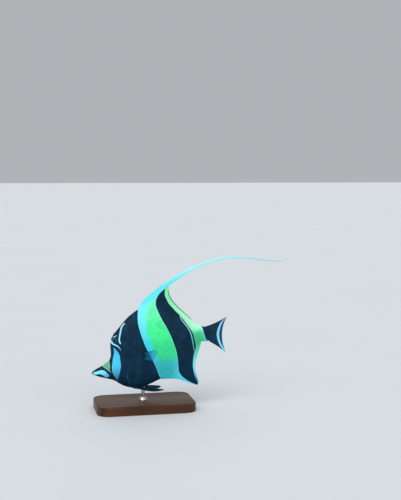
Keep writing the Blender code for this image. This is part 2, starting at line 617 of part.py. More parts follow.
def mouth_wedge(frame):
    """The cutter for the mouth: a wedge across the snout, open to the front."""
    back_gape = MOUTH_HALF_GAPE * MOUTH_BACK_SHARE
    section = ((MOUTH_FRONT, -MOUTH_HALF_GAPE), (MOUTH_FRONT, MOUTH_HALF_GAPE), (MOUTH_BACK, back_gape),
               (MOUTH_BACK, -back_gape))
    reach = TRUNK_ROWS[2, 4] * 2.0
    corners = [(x, y, z + rise) for (x, z), rise in section for y in (-reach, reach)]
    faces = [(0, 2, 4, 6), (1, 7, 5, 3), (0, 1, 3, 2), (2, 3, 5, 4), (4, 5, 7, 6), (6, 7, 1, 0)]
    return new_object("mouth", corners, faces, None, frame)


def trunk_half_width_at(x, z):
    """Half width of the trunk at a point of its side, found on a fine grid."""
    stations, downs = np.meshgrid(np.linspace(0.0, len(TRUNK_ROWS) - 1, 321), np.linspace(0.0, 1.0, 161))
    px, half, pz = trunk_points(stations, downs)
    return float(half.flat[np.argmin((px - x) ** 2 + (pz - z) ** 2)])


def make_median_fins(frame):
    back = trunk_edge(DORSAL_START, DORSAL_END, 0.0, 1.0)
    belly = trunk_edge(ANAL_START, ANAL_END, 1.0, -1.0)
    median_fin("dorsal_fin", back, DORSAL_EDGE, DORSAL_LEAD_BULGE, DORSAL_RAYS, DORSAL_SPINES, 1.0,
               "fin_pale", frame)
    median_fin("anal_fin", belly, ANAL_EDGE, ANAL_LEAD_BULGE, ANAL_RAYS, ANAL_SPINES, -1.0,
               "skin_black", frame)
    tail_fin("tail_fin", "skin_black", frame)
    count = len(STREAMER_PARTS)
    parting = GAP / line_length(STREAMER_LINE)
    for k, part in enumerate(STREAMER_PARTS):
        streamer_piece("streamer_" + part, k / count + parting, (k + 1) / count, "fin_pale", frame)


def make_paired_fins(frame):
    """The paired fins, and the cutters that make their slots in the torso."""
    kinds = (("pectoral", PECTORAL, PECTORAL_RAYS, pectoral_reach, "fin_clear"),
             ("pelvic", PELVIC, PELVIC_RAYS, pelvic_reach, "skin_black"))
    cutters = []
    for side, word in ((-1, "left"), (1, "right")):
        for kind, sizes, rays, reach_of, colour in kinds:
            paired_fin(f"{kind}_fin_{word}", side, sizes, rays, reach_of, colour, frame)
            cutters.append(paired_fin("slot", side, sizes, rays, reach_of, None, frame, grow=GAP))
    return cutters


def make_stand(frame):
    """The base, the collar and the rod. It gives back the cutter for the rod's socket in the belly."""
    length, width, height = BASE_SIZE
    shell = bmesh.new()
    bmesh.ops.create_cube(shell, size=1.0, matrix=Matrix.Diagonal((length, width, height, 1.0)))
    bmesh.ops.translate(shell, verts=shell.verts, vec=(0.0, 0.0, height / 2.0))
    uprights = [edge for edge in shell.edges if abs(edge.verts[0].co.z - edge.verts[1].co.z) > height / 2.0]
    bmesh.ops.bevel(shell, geom=uprights, offset=BASE_CORNER_RADIUS, segments=6, profile=0.5, affect="EDGES")
    rim = [edge for edge in shell.edges if all(v.co.z > height - 1e-3 for v in edge.verts)]
    bmesh.ops.bevel(shell, geom=rim, offset=BASE_EDGE_BEVEL, segments=2, profile=0.5, affect="EDGES")
    points = [tuple(v.co) for v in shell.verts]
    faces = [[v.index for v in face.verts] for face in shell.faces]
    shell.free()
    base = new_object("stand_base", points, faces, "stand_wood")

    top = in_world((ROD_TOP[0], 0.0, ROD_TOP[1]))
    foot = np.array((top[0], 0.0, height + GAP))
    sunk = np.array((0.0, 0.0, ROD_SOCKET_DEPTH))
    cone_solid("stand_rod", foot - sunk, top, ROD_RADIUS, ROD_RADIUS, "stand_steel", None, sides=24)
    bore, gap = ROD_RADIUS + GAP, np.array((0.0, 0.0, GAP))
    cut(base, [cone_solid("rod_hole", foot - sunk - gap, top, bore, bore, None, None, sides=24)])
    collar_top = foot + (0.0, 0.0, COLLAR_HEIGHT)
    collar = cone_solid("stand_collar", foot, collar_top, COLLAR_RADIUS, COLLAR_TOP_RADIUS, "stand_steel",
                        None, sides=32)
    cut(collar, [cone_solid("collar_bore", foot - sunk, top, bore, bore, None, None, sides=24)])
    low, high = in_fish_frame(foot), in_fish_frame(top + gap)
    return cone_solid("rod_socket", low, high, bore, bore, None, frame, sides=24)


def main():
    clear_scene()
    frame = fish_frame()
    head, torso = make_trunk(frame)
    make_head_details(frame, head)
    make_median_fins(frame)
    cutters = make_paired_fins(frame)
    cutters.append(make_stand(frame))
    cut(torso, cutters)


main()
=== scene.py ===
"""The looks of a life-size moorish idol on its display stand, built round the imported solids.

Lengths are in millimetres in the fish's own frame, until to_world turns them into metres: x runs
from the tip of the snout to the tail, y to the fish's right and z up its back.
"""

import math

import bpy
import numpy as np
from mathutils import Matrix, Vector


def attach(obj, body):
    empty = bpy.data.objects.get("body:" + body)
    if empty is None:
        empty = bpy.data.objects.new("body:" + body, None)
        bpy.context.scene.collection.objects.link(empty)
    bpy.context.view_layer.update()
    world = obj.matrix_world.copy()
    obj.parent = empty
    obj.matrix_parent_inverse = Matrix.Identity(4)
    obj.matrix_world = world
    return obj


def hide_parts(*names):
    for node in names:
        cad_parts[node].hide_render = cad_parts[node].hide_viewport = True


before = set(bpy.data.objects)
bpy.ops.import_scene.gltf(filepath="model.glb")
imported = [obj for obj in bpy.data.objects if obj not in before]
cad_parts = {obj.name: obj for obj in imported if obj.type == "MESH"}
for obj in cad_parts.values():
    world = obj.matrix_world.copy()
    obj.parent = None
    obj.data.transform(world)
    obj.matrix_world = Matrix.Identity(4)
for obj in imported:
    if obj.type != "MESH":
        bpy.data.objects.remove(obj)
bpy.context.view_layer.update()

MM = 0.001
PITCH = math.radians(8.6)
FISH_ORIGIN = np.array((-69.3, 0.0, 51.0))
SEED = 7

# Trunk: one row for each station, as top x, top z, bottom x, bottom z and half width
TRUNK_ROWS = np.array([
    (0.6, 1.5, 0.7, -1.9, 2.3), (5.6, 4.0, 5.7, -5.1, 3.3), (11.9, 6.1, 12.5, -8.4, 4.3),
    (19.3, 9.2, 19.9, -11.6, 5.6), (25.3, 13.0, 26.8, -15.0, 7.1), (28.3, 20.8, 31.7, -19.2, 8.6),
    (29.5, 32.2, 37.0, -23.6, 9.8), (33.4, 42.8, 43.1, -27.1, 10.9), (43.7, 52.8, 50.3, -29.8, 11.9),
    (57.6, 64.4, 59.2, -30.8, 12.6), (73.4, 72.6, 70.8, -29.6, 12.6), (90.4, 75.4, 84.7, -26.0, 11.8),
    (107.0, 70.2, 99.5, -20.6, 10.0), (122.9, 60.2, 115.2, -11.3, 7.8), (136.8, 48.9, 130.0, 0.0, 5.6),
    (147.6, 37.6, 145.6, 13.6, 4.2), (156.7, 33.7, 160.0, 14.4, 3.4),
])
LAST_STATION = len(TRUNK_ROWS) - 1.0
DORSAL_START, DORSAL_END = 10.0, 15.85
ANAL_START, ANAL_END = 11.2, 15.4
GILL_TOP, GILL_BULGE, GILL_DROP = 8.9, 0.78, 2.1
RIDGE_HALF, FIN_ROOT_HALF = 0.5, 1.15
FIN_RAMP = (-0.7, 0.3)  # stations about the start of a fin over which the ridge widens into its root
SIDE_POWER, BELLY_POWER, FIN_SIDE_POWER = 0.52, 0.42, 0.80  # how full a section is: less is fuller
BELLY_STATIONS = (6.0, 8.0)
SWELL_FADE = 0.06

# Head
EYE_CENTRE, EYE_AXIS = np.array((36.4, 4.9, 38.8)), np.array((-0.32, 0.94, 0.12))
EYE_RADIUS, EYE_HALF_DEPTH, EYE_BULGE, EYE_BULGE_WIDTH = 4.4, 3.4, 0.9, 1.35
LIP_SWELL, LIP_STATION, LIP_WIDTH = 0.55, 0.3, 0.42
MOUTH_LINE = ((-3.0, -0.1), (5.4, -2.0))
NOSTRILS = ((32.5, 31.9, 0.7), (34.3, 31.2, 0.55))
HORN_FOOT, HORN_TIP = np.array((38.2, 2.8, 45.0)), np.array((35.9, 5.6, 46.0))
HORN_RADIUS, HORN_TIP_RADIUS = 1.2, 0.3

# Dorsal and anal fins and the streamer, in the plane of the body
DORSAL_EDGE = ((116.4, 103.2), (119.4, 96.2), (118.4, 88.2), (119.8, 81.0), (124.4, 72.0), (131.2, 62.6),
               (139.6, 51.6), (147.9, 40.6), (155.9, 35.4))
DORSAL_BULGE = (0.0, 3.9, 4.2, 3.1, 1.9, 0.0)
ANAL_EDGE = ((137.2, -43.4), (140.0, -40.0), (138.6, -30.0), (138.6, -19.0), (141.4, -8.9), (145.3, -0.4),
             (149.2, 7.6), (151.2, 13.6))
ANAL_BULGE = (0.0, -1.5, -3.5, -2.8, -0.9, 0.0)
BULGE_POWER = 4
RAY_END_SHARES = (0.0, 0.12, 0.39, 0.74, 1.0)
STREAMER_LINE = ((118.2, 99.9), (127.5, 104.2), (139.5, 109.2), (153.0, 114.0), (170.0, 118.3), (187.5, 120.8),
                 (203.0, 121.0), (219.0, 119.0), (236.0, 115.0), (253.0, 110.0), (268.0, 105.8), (280.0, 103.7),
                 (290.0, 103.8))
STREAMER_HALF_HEIGHT = (3.1, 2.85, 2.45, 2.0, 1.58, 1.25, 1.03, 0.85, 0.68, 0.5, 0.3)
STREAMER_HALF_THICKNESS = (0.75, 0.7, 0.65, 0.6, 0.55, 0.5, 0.5, 0.45, 0.4, 0.35, 0.3)
STREAMER_SWAY = 7.0

# Tail fin, about the end of the stalk
TAIL_DROOP_DEG = 10.0
TAIL_UPPER_TIP, TAIL_LOWER_TIP, TAIL_FORK = (30.6, 23.8), (30.6, -26.8), (24.2, -1.2)

# Paired fins
PECTORAL = {
    "first": (67.0, 12.5, 15.8), "last": (66.6, 12.6, 8.2), "axis": (0.66, 0.75, 0.04),
    "inward": (-0.66, -0.75, 0.0), "length": 30.0, "fan_deg": (-12.0, 7.0), "cup": 0.06,
}
PELVIC = {
    "first": (45.5, 5.3, -25.8), "last": (52.0, 3.3, -30.4), "axis": (0.955, 0.16, -0.265),
    "inward": (-0.1, -0.55, 0.83), "length": 46.0, "fan_deg": (-1.0, 13.0), "cup": 0.0,
}

# Edges of the markings, in the plane of the body
BAND_FRONT = ((74.6, 79.0), (73.8, 75.4), (72.9, 72.3), (71.8, 68.8), (70.5, 63.8), (69.5, 55.3),
              (70.1, 45.6), (71.5, 36.5), (73.1, 28.3), (75.3, 19.9), (79.5, 7.9), (82.4, -0.9), (84.8, -9.9),
              (86.6, -17.9), (88.6, -24.0))
BAND_REAR = ((113.6, 95.4), (107.5, 90.9), (102.8, 86.7), (99.5, 81.8), (98.0, 77.0), (97.9, 71.3), (99.5, 64.4),
             (101.9, 56.2), (104.6, 48.8), (107.4, 41.3), (109.7, 33.9), (111.6, 26.5), (113.1, 19.0),
             (114.6, 11.5), (115.3, 5.0), (115.5, -2.4), (115.6, -11.3), (115.2, -18.6), (116.0, -22.9),
             (118.4, -27.5), (122.9, -32.7), (127.3, -36.6), (131.6, -39.9), (136.6, -43.2))
WARM_FRONT = ((99.8, 82.6), (95.0, 80.9), (89.6, 78.3), (85.2, 73.6), (82.0, 65.4), (80.0, 53.1), (79.7, 43.4),
              (80.6, 33.4), (82.2, 24.3), (84.6, 14.6), (87.6, 5.4), (90.6, -4.0), (93.0, -14.0))
REAR_FRONT = ((114.8, 97.2), (113.4, 92.6), (112.2, 86.6), (113.4, 80.4), (115.7, 73.9), (119.8, 67.2),
              (123.6, 61.4), (127.0, 56.9), (131.1, 50.2), (135.7, 41.4), (139.5, 33.7), (141.5, 27.2),
              (142.5, 19.8), (143.3, 12.2), (142.5, 5.6), (139.4, -1.2), (136.9, -9.0), (135.4, -17.5),
              (135.6, -27.5), (137.0, -34.9), (138.6, -41.2))
STALK_END = ((159.5, 13.0), (158.2, 18.0), (157.2, 22.0), (156.4, 28.0), (155.8, 32.0), (155.0, 36.5))
THIN_LINE = ((127.6, 55.7), (128.8, 50.7), (132.0, 44.1), (135.1, 38.5), (137.9, 31.0), (139.0, 24.7),
             (139.6, 16.4), (140.1, 8.7), (140.0, 2.1), (137.2, -7.0))
NAPE_LINE = ((52.1, 58.6), (49.0, 56.1), (46.5, 52.5), (44.7, 48.2), (42.9, 43.9), (41.6, 40.1), (41.2, 36.7),
             (42.0, 34.2))
CHEEK_LINE = ((31.0, 38.1), (31.7, 35.6), (33.6, 33.9), (35.7, 32.6), (37.7, 31.0), (39.6, 28.7), (40.7, 26.3),
              (41.0, 25.0))
# Painted highlight: a pale streak low on the belly, by the gill opening and pelvic fin
GILL_HIGHLIGHT_LINE = ((43.8, -8.7), (44.1, -14.0), (45.4, -19.5), (46.9, -24.2))
FACE_FRONT = ((31.8, 30.4), (31.8, 27.2), (31.3, 22.5), (29.8, 17.8), (28.3, 13.0), (26.7, 7.2), (25.8, 2.0),
              (25.6, -1.6), (26.2, -4.9), (27.3, -8.6), (28.9, -12.6), (30.8, -17.6))
FACE_REAR = ((31.8, 30.4), (33.8, 28.8), (35.7, 26.2), (37.4, 23.0), (38.4, 19.8), (38.6, 15.6), (38.4, 10.8),
             (38.3, 5.9), (37.3, 1.1), (35.7, -3.6), (34.3, -7.2), (33.0, -10.8), (32.4, -15.4), (32.6, -18.6))
SADDLE = ((13.9, 6.9), (14.6, 6.0), (18.0, 2.5), (20.5, 0.1), (22.0, -1.7), (24.0, -3.8), (23.4, 0.9),
          (24.0, 3.5), (24.7, 8.0), (25.0, 12.0), (24.0, 15.0), (16.0, 12.0))
SNOUT_TOP = ((-2.0, -0.3), (0.4, 0.0), (3.0, 1.4), (7.3, 1.8), (10.9, 2.4), (14.3, 1.9), (17.0, 0.3), (18.9, -2.4),
             (20.8, -5.9), (21.2, -7.4))
SNOUT_BOTTOM = ((21.2, -7.4), (19.4, -8.3), (16.4, -8.6), (14.3, -6.9), (11.6, -4.1), (8.3, -2.6), (4.2, -2.5),
                (0.9, -1.0), (-2.0, -0.9))
CRESCENT_FRONT = ((191.8, 42.2), (184.6, 37.2), (179.9, 32.1), (176.5, 25.9), (174.6, 20.4), (174.6, 13.5),
                  (175.7, 7.4), (178.2, 1.0), (181.3, -4.5), (185.4, -9.6))
CRESCENT_REAR = ((191.8, 41.8), (186.9, 36.9), (183.0, 31.8), (179.9, 25.5), (178.3, 19.8), (177.9, 12.8),
                 (178.9, 6.5), (181.2, 0.2), (183.6, -5.2), (186.4, -10.0))


def spline(knots, at):
    """Natural cubic spline through knots at 0, 1, 2 and so on, read at the parameters in at."""
    knots = np.asarray(knots, float)
    count = len(knots)
    system = np.zeros((count, count))
    right = np.zeros_like(knots)
    system[0, 0] = system[-1, -1] = 1.0
    for i in range(1, count - 1):
        system[i, i - 1:i + 2] = (1.0, 4.0, 1.0)
        right[i] = 6.0 * (knots[i - 1] - 2.0 * knots[i] + knots[i + 1])
    bends = np.linalg.solve(system, right)
    at = np.clip(np.asarray(at, float), 0.0, count - 1)
    low = np.minimum(at.astype(int), count - 2)
    share = at - low
    if knots.ndim > 1:
        share = share[..., None]
    rest = 1.0 - share
    return (rest * knots[low] + share * knots[low + 1]
            + ((rest ** 3 - rest) * bends[low] + (share ** 3 - share) * bends[low + 1]) / 6.0)


def smooth(knots, per=5):
    """The spline through knots as a finer line, per points to each step."""
    return spline(knots, np.linspace(0.0, len(knots) - 1, per * (len(knots) - 1) + 1))


def evenly(knots, shares):
    """Points at these shares of the length of the spline through knots."""
    fine = smooth(knots, 40)
    length = np.concatenate([[0.0], np.cumsum(np.linalg.norm(np.diff(fine, axis=0), axis=1))])
    wanted = np.asarray(shares, float) * length[-1]
    return np.stack([np.interp(wanted, length, fine[:, axis]) for axis in range(fine.shape[1])], axis=-1)


def ramp(low, high, value):
    """Smooth step from 0 at low to 1 at high."""
    share = np.clip((np.asarray(value, float) - low) / (high - low), 0.0, 1.0)
    return share * share * (3.0 - 2.0 * share)


def bell(value, width):
    return np.exp(-(value / width) ** 2)


def unit(vectors):
    return vectors / np.maximum(np.linalg.norm(vectors, axis=-1, keepdims=True), 1e-9)


def mirrored(vector, side):
    x, y, z = vector
    return np.array((x, side * y, z))


def turned(x, z, angle):
    return x * math.cos(angle) - z * math.sin(angle), x * math.sin(angle) + z * math.cos(angle)


def to_world(points):
    """Points of the fish's frame in millimetres as world points in metres."""
    x, z = turned(points[..., 0], points[..., 2], PITCH)
    return MM * (np.stack([x, points[..., 1], z], axis=-1) + FISH_ORIGIN)


def trunk_points(station, down):
    """x, half width and z of the trunk at a station and a share of the way from back to belly."""
    row = spline(TRUNK_ROWS, station)
    x = row[..., 0] + (row[..., 2] - row[..., 0]) * down
    z = row[..., 1] + (row[..., 3] - row[..., 1]) * down
    across = 2.0 * down - 1.0
    back_fin = ramp(DORSAL_START + FIN_RAMP[0], DORSAL_START + FIN_RAMP[1], station)
    belly_fin = ramp(ANAL_START + FIN_RAMP[0], ANAL_START + FIN_RAMP[1], station)
    fin = np.where(across < 0.0, back_fin, belly_fin)
    edge = RIDGE_HALF + (FIN_ROOT_HALF - RIDGE_HALF) * fin
    belly = ramp(*BELLY_STATIONS, station) * (across > 0.0)
    side_power = SIDE_POWER + (BELLY_POWER - SIDE_POWER) * belly
    power = side_power + (FIN_SIDE_POWER - side_power) * fin
    half = edge + (row[..., 4] - edge) * np.maximum(1.0 - across ** 2, 0.0) ** power
    inside = ramp(0.0, SWELL_FADE, down) * ramp(1.0, 1.0 - SWELL_FADE, down)
    away = np.hypot(x - EYE_CENTRE[0], z - EYE_CENTRE[2]) / EYE_RADIUS
    half = half + EYE_BULGE * bell(away, EYE_BULGE_WIDTH) * inside
    half = half + LIP_SWELL * bell(station - LIP_STATION, LIP_WIDTH) * inside
    return x, half, z


def gill_station(down):
    """Station of the edge of the gill cover at a share of the way from back to belly."""
    return GILL_TOP + GILL_BULGE * np.sin(math.pi * down) - GILL_DROP * down ** 2


# Distances to the edges of the markings
def line_distance(x, z, line):
    """Distance of each point to an open line."""
    best = np.full(x.shape, 1e9)
    for (ax, az), (bx, bz) in zip(line[:-1], line[1:]):
        dx, dz = bx - ax, bz - az
        share = np.clip(((x - ax) * dx + (z - az) * dz) / max(dx * dx + dz * dz, 1e-12), 0.0, 1.0)
        best = np.minimum(best, (x - ax - share * dx) ** 2 + (z - az - share * dz) ** 2)
    return np.sqrt(best)


def loop_depth(x, z, loop):
    """Distance of each point to a closed line, positive inside it."""
    inside = np.zeros(x.shape, bool)
    closed = np.vstack([loop, loop[:1]])
    for (ax, az), (bx, bz) in zip(closed[:-1], closed[1:]):
        if az != bz:
            crosses = (az > z) != (bz > z)
            inside ^= crosses & (x < ax + (z - az) * (bx - ax) / (bz - az))
    return np.where(inside, 1.0, -1.0) * line_distance(x, z, closed)


def markings(points):
    """Attributes that the materials read, from places in the fish's frame: depths in millimetres."""
    x, z = points[:, 0], points[:, 2]
    rear_edge = smooth(BAND_REAR)
    band = np.vstack([smooth(BAND_FRONT)[::-1], ((70, 86), (62, 140), (330, 140), (330, 96), (125, 99.5), (119, 99)),
                      rear_edge, ((137, -60), (80, -60))])
    warm = np.vstack([smooth(WARM_FRONT), ((94, -40), (150, -40), (150, 85))])
    rear = np.vstack([smooth(REAR_FRONT), ((140, -60), (150, -30), (154, 2), (159, 8)), smooth(STALK_END),
                      ((156, 44), (150, 60), (136, 90), (119.5, 100))])
    face = np.vstack([smooth(FACE_FRONT), smooth(FACE_REAR)[::-1]])
    snout = np.vstack([smooth(SNOUT_TOP), smooth(SNOUT_BOTTOM)])
    nape = 0.86 * ramp(0.0, 3.0, 60.6 - z + 0.6 * (x - 52.0)) - line_distance(x, z, smooth(NAPE_LINE))
    cheek = 0.3 + 0.5 * ramp(40.8, 37.6, x) + 0.5 * bell(np.hypot(x - 31.2, z - 37.0), 2.6)
    cheek = cheek - line_distance(x, z, smooth(CHEEK_LINE))
    # Painted highlight: a pale spot and streak by the brow horn, above and in front of the eye
    horn = 0.45 + 0.5 * bell(np.hypot(x - 35.2, z - 42.8), 1.6)
    horn = horn - line_distance(x, z, ((34.8, 42.6), (36.4, 43.4), (38.6, 44.6)))
    thin = 0.6 * ramp(57.5, 52.0, z) * ramp(-4.0, 12.0, z) + 0.16 - line_distance(x, z, smooth(THIN_LINE))
    # Painted highlight: a pale streak low on the belly, added to the thin pale line of the flank
    gill_highlight = 0.16 - line_distance(x, z, smooth(GILL_HIGHLIGHT_LINE))
    # The anal fin's root crease, along which paler skin is painted against the shade that falls there
    fold_painted_light = trunk_edge(ANAL_START, ANAL_END, 0.97, np.linspace(0.0, 1.0, 20))
    return {
        "place": points,
        "band": loop_depth(x, z, band),
        "warm": loop_depth(x, z, warm),
        "rim": line_distance(x, z, rear_edge),
        "front_rim": line_distance(x, z, smooth(BAND_FRONT)),
        "rear": loop_depth(x, z, rear),
        "face": loop_depth(x, z, face),
        "saddle": loop_depth(x, z, smooth(SADDLE + SADDLE[:1], 3)[:-1]),
        "snout": loop_depth(x, z, snout),
        "white_lines_and_horn_highlight": np.maximum(np.maximum(nape, cheek), horn),
        "thin_line_and_gill_highlight": np.maximum(thin, gill_highlight),
        "stalk_end": line_distance(x, z, smooth(STALK_END)),
        "fold_painted_light": line_distance(x, z, fold_painted_light),
    }


# Meshes
def new_piece(name, points, faces, material, attributes=None, uv=None, smooth_deg=None):
    """A mesh of points in the fish's frame, with one material, on the root body."""
    mesh = bpy.data.meshes.new(name)
    corners = np.concatenate([np.asarray(block).reshape(-1) for block in faces]).astype(np.int32)
    sizes = np.concatenate([np.full(len(block), block.shape[1], np.int32) for block in faces])
    mesh.vertices.add(len(points))
    mesh.vertices.foreach_set("co", to_world(points).astype(np.float32).reshape(-1))
    mesh.loops.add(len(corners))
    mesh.loops.foreach_set("vertex_index", corners)
    mesh.polygons.add(len(sizes))
    mesh.polygons.foreach_set("loop_start", np.concatenate([[0], np.cumsum(sizes)[:-1]]).astype(np.int32))
    mesh.update(calc_edges=True)
    mesh.validate()
    for key, values in (attributes or {}).items():
        kind, slot = ("FLOAT_VECTOR", "vector") if values.ndim > 1 else ("FLOAT", "value")
        layer = mesh.attributes.new(key, kind, "POINT")
        layer.data.foreach_set(slot, values.astype(np.float32).reshape(-1))
    if uv is not None:
        layer = mesh.uv_layers.new(name="OFBake")
        layer.uv.foreach_set("vector", uv[corners].astype(np.float32).reshape(-1))
    mesh.shade_smooth()
    if smooth_deg:
        mesh.set_sharp_from_angle(angle=math.radians(smooth_deg))
    mesh.materials.append(material)
    piece = bpy.data.objects.new(name, mesh)
    bpy.context.scene.collection.objects.link(piece)
    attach(piece, "root")
    return piece


def grid_faces(rows, columns, closed=False):
    """Quads of a grid of rows by columns, whose columns may close into a ring."""
    i, j = np.meshgrid(np.arange(rows - 1), np.arange(columns if closed else columns - 1), indexing="ij")
    after = (j + 1) % columns
    quads = np.stack([i * columns + j, i * columns + after, (i + 1) * columns + after, (i + 1) * columns + j], -1)
    return quads.reshape(-1, 4)


def cap_faces(start, ring, flip):
    """Triangles from the points of a ring to the point that follows them."""
    k = np.arange(ring)
    fan = np.stack([start + k, start + (k + 1) % ring, np.full(ring, start + ring)], axis=-1)
    return fan[:, ::-1] if flip else fan


def sheet(name, middle, normals, halves, material, attributes, sides=None):
    """A closed sheet from a grid of points, with normals and half thicknesses."""
    rows, columns = halves.shape
    offset = normals * halves[..., None]
    points = np.concatenate([(middle + offset).reshape(-1, 3), (middle - offset).reshape(-1, 3)])
    under = rows * columns
    front = grid_faces(rows, columns)
    at = np.arange(under).reshape(rows, columns)
    border = np.concatenate([at[0, :-1], at[:-1, -1], at[-1, :0:-1], at[:0:-1, 0]])
    after = np.roll(border, -1)
    rim = np.stack([border, border + under, after + under, after], axis=-1)
    u, v = np.meshgrid(np.linspace(0.01, 0.48, rows), np.linspace(0.02, 0.98, columns), indexing="ij")
    uv = np.concatenate([np.stack([u, v], -1).reshape(-1, 2), np.stack([u + 0.5, v], -1).reshape(-1, 2)])
    doubled = {key: np.concatenate([value, value]) for key, value in attributes.items()}
    doubled.update(markings(points))
    faces = [front, front[:, ::-1] + under, rim]
    return new_piece(name, points, faces, material, doubled, uv, smooth_deg=70.0)


# Skin
STATION_STEP = 0.55
SIDE_POINTS = 170
DOME_DEPTH, DOME_RINGS = 1.1, 8
SLEEVE_LENGTH, SLEEVE_RINGS = 2.6, 6


def skin_stations():
    """Stations about STATION_STEP apart, closer about the eye and gill cover."""
    fine = np.linspace(0.0, LAST_STATION, 4001)
    speed = np.zeros_like(fine)
    for down in (0.0, 0.3, 0.6, 1.0):
        x, _, z = trunk_points(fine, np.full_like(fine, down))
        speed += 0.25 * np.hypot(np.gradient(x, fine), np.gradient(z, fine))
    near_eye = ramp(4.6, 5.6, fine) * ramp(9.9, 9.2, fine)
    density = speed / (STATION_STEP * (1.0 - 0.35 * near_eye))
    count = np.concatenate([[0.0], np.cumsum((density[1:] + density[:-1]) / 2.0 * np.diff(fine))])
    return np.interp(np.linspace(0.0, count[-1], int(count[-1]) + 1), count, fine)


def trunk_ring(station, downs, side):
    """Points down one side of the trunk, before any relief."""
    x, half, z = trunk_points(station, downs)
    return np.stack([x, side * half, z], axis=-1)


def bridge(left, right, away, share):
    """Points over the rounded ridge between two edges of the trunk."""
    middle = left + (right - left) * share
    width = np.linalg.norm(right - left, axis=-1, keepdims=True)
    return middle + away * width * 0.36 * 4.0 * share * (1.0 - share)


def skin_grid():
    """Rings of the skin from front to back, each down the left side and up the right one."""
    stations = skin_stations()
    downs = 0.5 - 0.5 * np.cos(np.linspace(0.0, math.pi, SIDE_POINTS))
    s, d = np.meshgrid(stations, downs, indexing="ij")
    left, right = trunk_ring(s, d, -1.0), trunk_ring(s, d, 1.0)
    up = unit(left[:, :1] - left[:, -1:]) * (1.0, 0.0, 1.0)
    shares = (0.2, 0.5, 0.8)
    under = [bridge(left[:, -1:], right[:, -1:], -up, share) for share in shares]
    over = [bridge(right[:, :1], left[:, :1], up, share) for share in shares]
    rings = np.concatenate([left, *under, right[:, ::-1], *over], axis=1)
    ring_down = np.concatenate([downs, [1.0] * 3, downs[::-1], [0.0] * 3])
    return stations, downs, ring_down, rings


def grid_normals(rings):
    """Unit normals of a grid of closed rings, pointing out."""
    along = np.gradient(rings, axis=0)
    around = np.roll(rings, -1, axis=1) - np.roll(rings, 1, axis=1)
    return unit(np.cross(along, around))


def eye_frame(side):
    centre, axis = mirrored(EYE_CENTRE, side), unit(mirrored(EYE_AXIS, side))
    return centre, axis


def relief(points, normals, station, down):
    """How far the skin stands out from the plain trunk, in millimetres."""
    x, z = points[..., 0], points[..., 2]
    rise = np.zeros(x.shape)
    step = 0.02
    a, b = trunk_points(station, down), trunk_points(station + step, down)
    scale = np.hypot(b[0] - a[0], b[2] - a[2]) / step
    behind = (station - gill_station(down)) * scale
    shown = ramp(0.16, 0.36, down) * ramp(1.0, 0.95, down)
    rise -= 0.75 * shown * ramp(-0.1, 0.5, behind) * ramp(30.0, 1.0, behind)
    rise += 0.16 * shown * bell(behind + 0.7, 0.7)
    cheek = (station - gill_station(down) + 1.25 + 0.25 * np.sin(math.pi * down)) * scale
    rise -= 0.14 * ramp(0.25, 0.4, down) * ramp(0.9, 0.75, down) * bell(cheek, 0.9)
    lateral = smooth(((57.0, 40.0), (64.0, 49.0), (76.0, 56.5), (92.0, 58.5), (108.0, 53.0), (124.0, 43.0),
                      (140.0, 32.5), (158.0, 26.0)))
    rise += 0.16 * bell(line_distance(x, z, lateral), 0.55)
    for start, end, depth, rays in ((DORSAL_START, DORSAL_END, down, 46), (ANAL_START, ANAL_END, 1.0 - down, 37)):
        near = depth * np.interp(station, np.arange(17), TRUNK_ROWS[:, 1] - TRUNK_ROWS[:, 3])
        share = (station - start) / (end - start)
        fade = ramp(0.0, 0.06, share) * ramp(1.0, 0.96, share) * ramp(11.0, 1.0, near)
        rise += 0.10 * fade * np.cos(2.0 * math.pi * rays * share)
    mouth = line_distance(x, z, MOUTH_LINE)
    rise -= 1.1 * bell(mouth, 0.42) * ramp(6.4, 4.6, x)
    rise += 0.22 * bell(mouth - 1.15, 0.55) * ramp(5.6, 3.6, x)
    for nx, nz, radius in NOSTRILS:
        away = np.hypot(x - nx, z - nz)
        rise += 0.25 * bell(away - radius * 1.25, 0.32) - 0.8 * ramp(radius * 1.05, radius * 0.45, away)
    rise += 0.05 * np.sin(0.33 * x + 0.8) * np.sin(0.27 * z + 0.4) * ramp(20.0, 40.0, x)
    return rise


def seat_eyes(points, normals):
    """Sinks the skin under each eye and raises a soft rim round it."""
    for side in (-1, 1):
        centre, axis = eye_frame(side)
        offset = points - centre
        high = offset @ axis
        out = np.linalg.norm(offset - high[..., None] * axis, axis=-1)
        facing = high > 0.0
        points = points + normals * (0.42 * bell(out - EYE_RADIUS * 1.16, 0.75) * facing)[..., None]
        dome = EYE_HALF_DEPTH * np.sqrt(np.maximum(1.0 - (out / (EYE_RADIUS * 1.02)) ** 2, 0.0)) - 0.9
        sink = np.where(facing & (out < EYE_RADIUS * 1.02), np.maximum(high - dome, 0.0), 0.0)
        points = points - (sink * ramp(EYE_RADIUS * 1.02, EYE_RADIUS * 0.9, out))[..., None] * axis
    return points


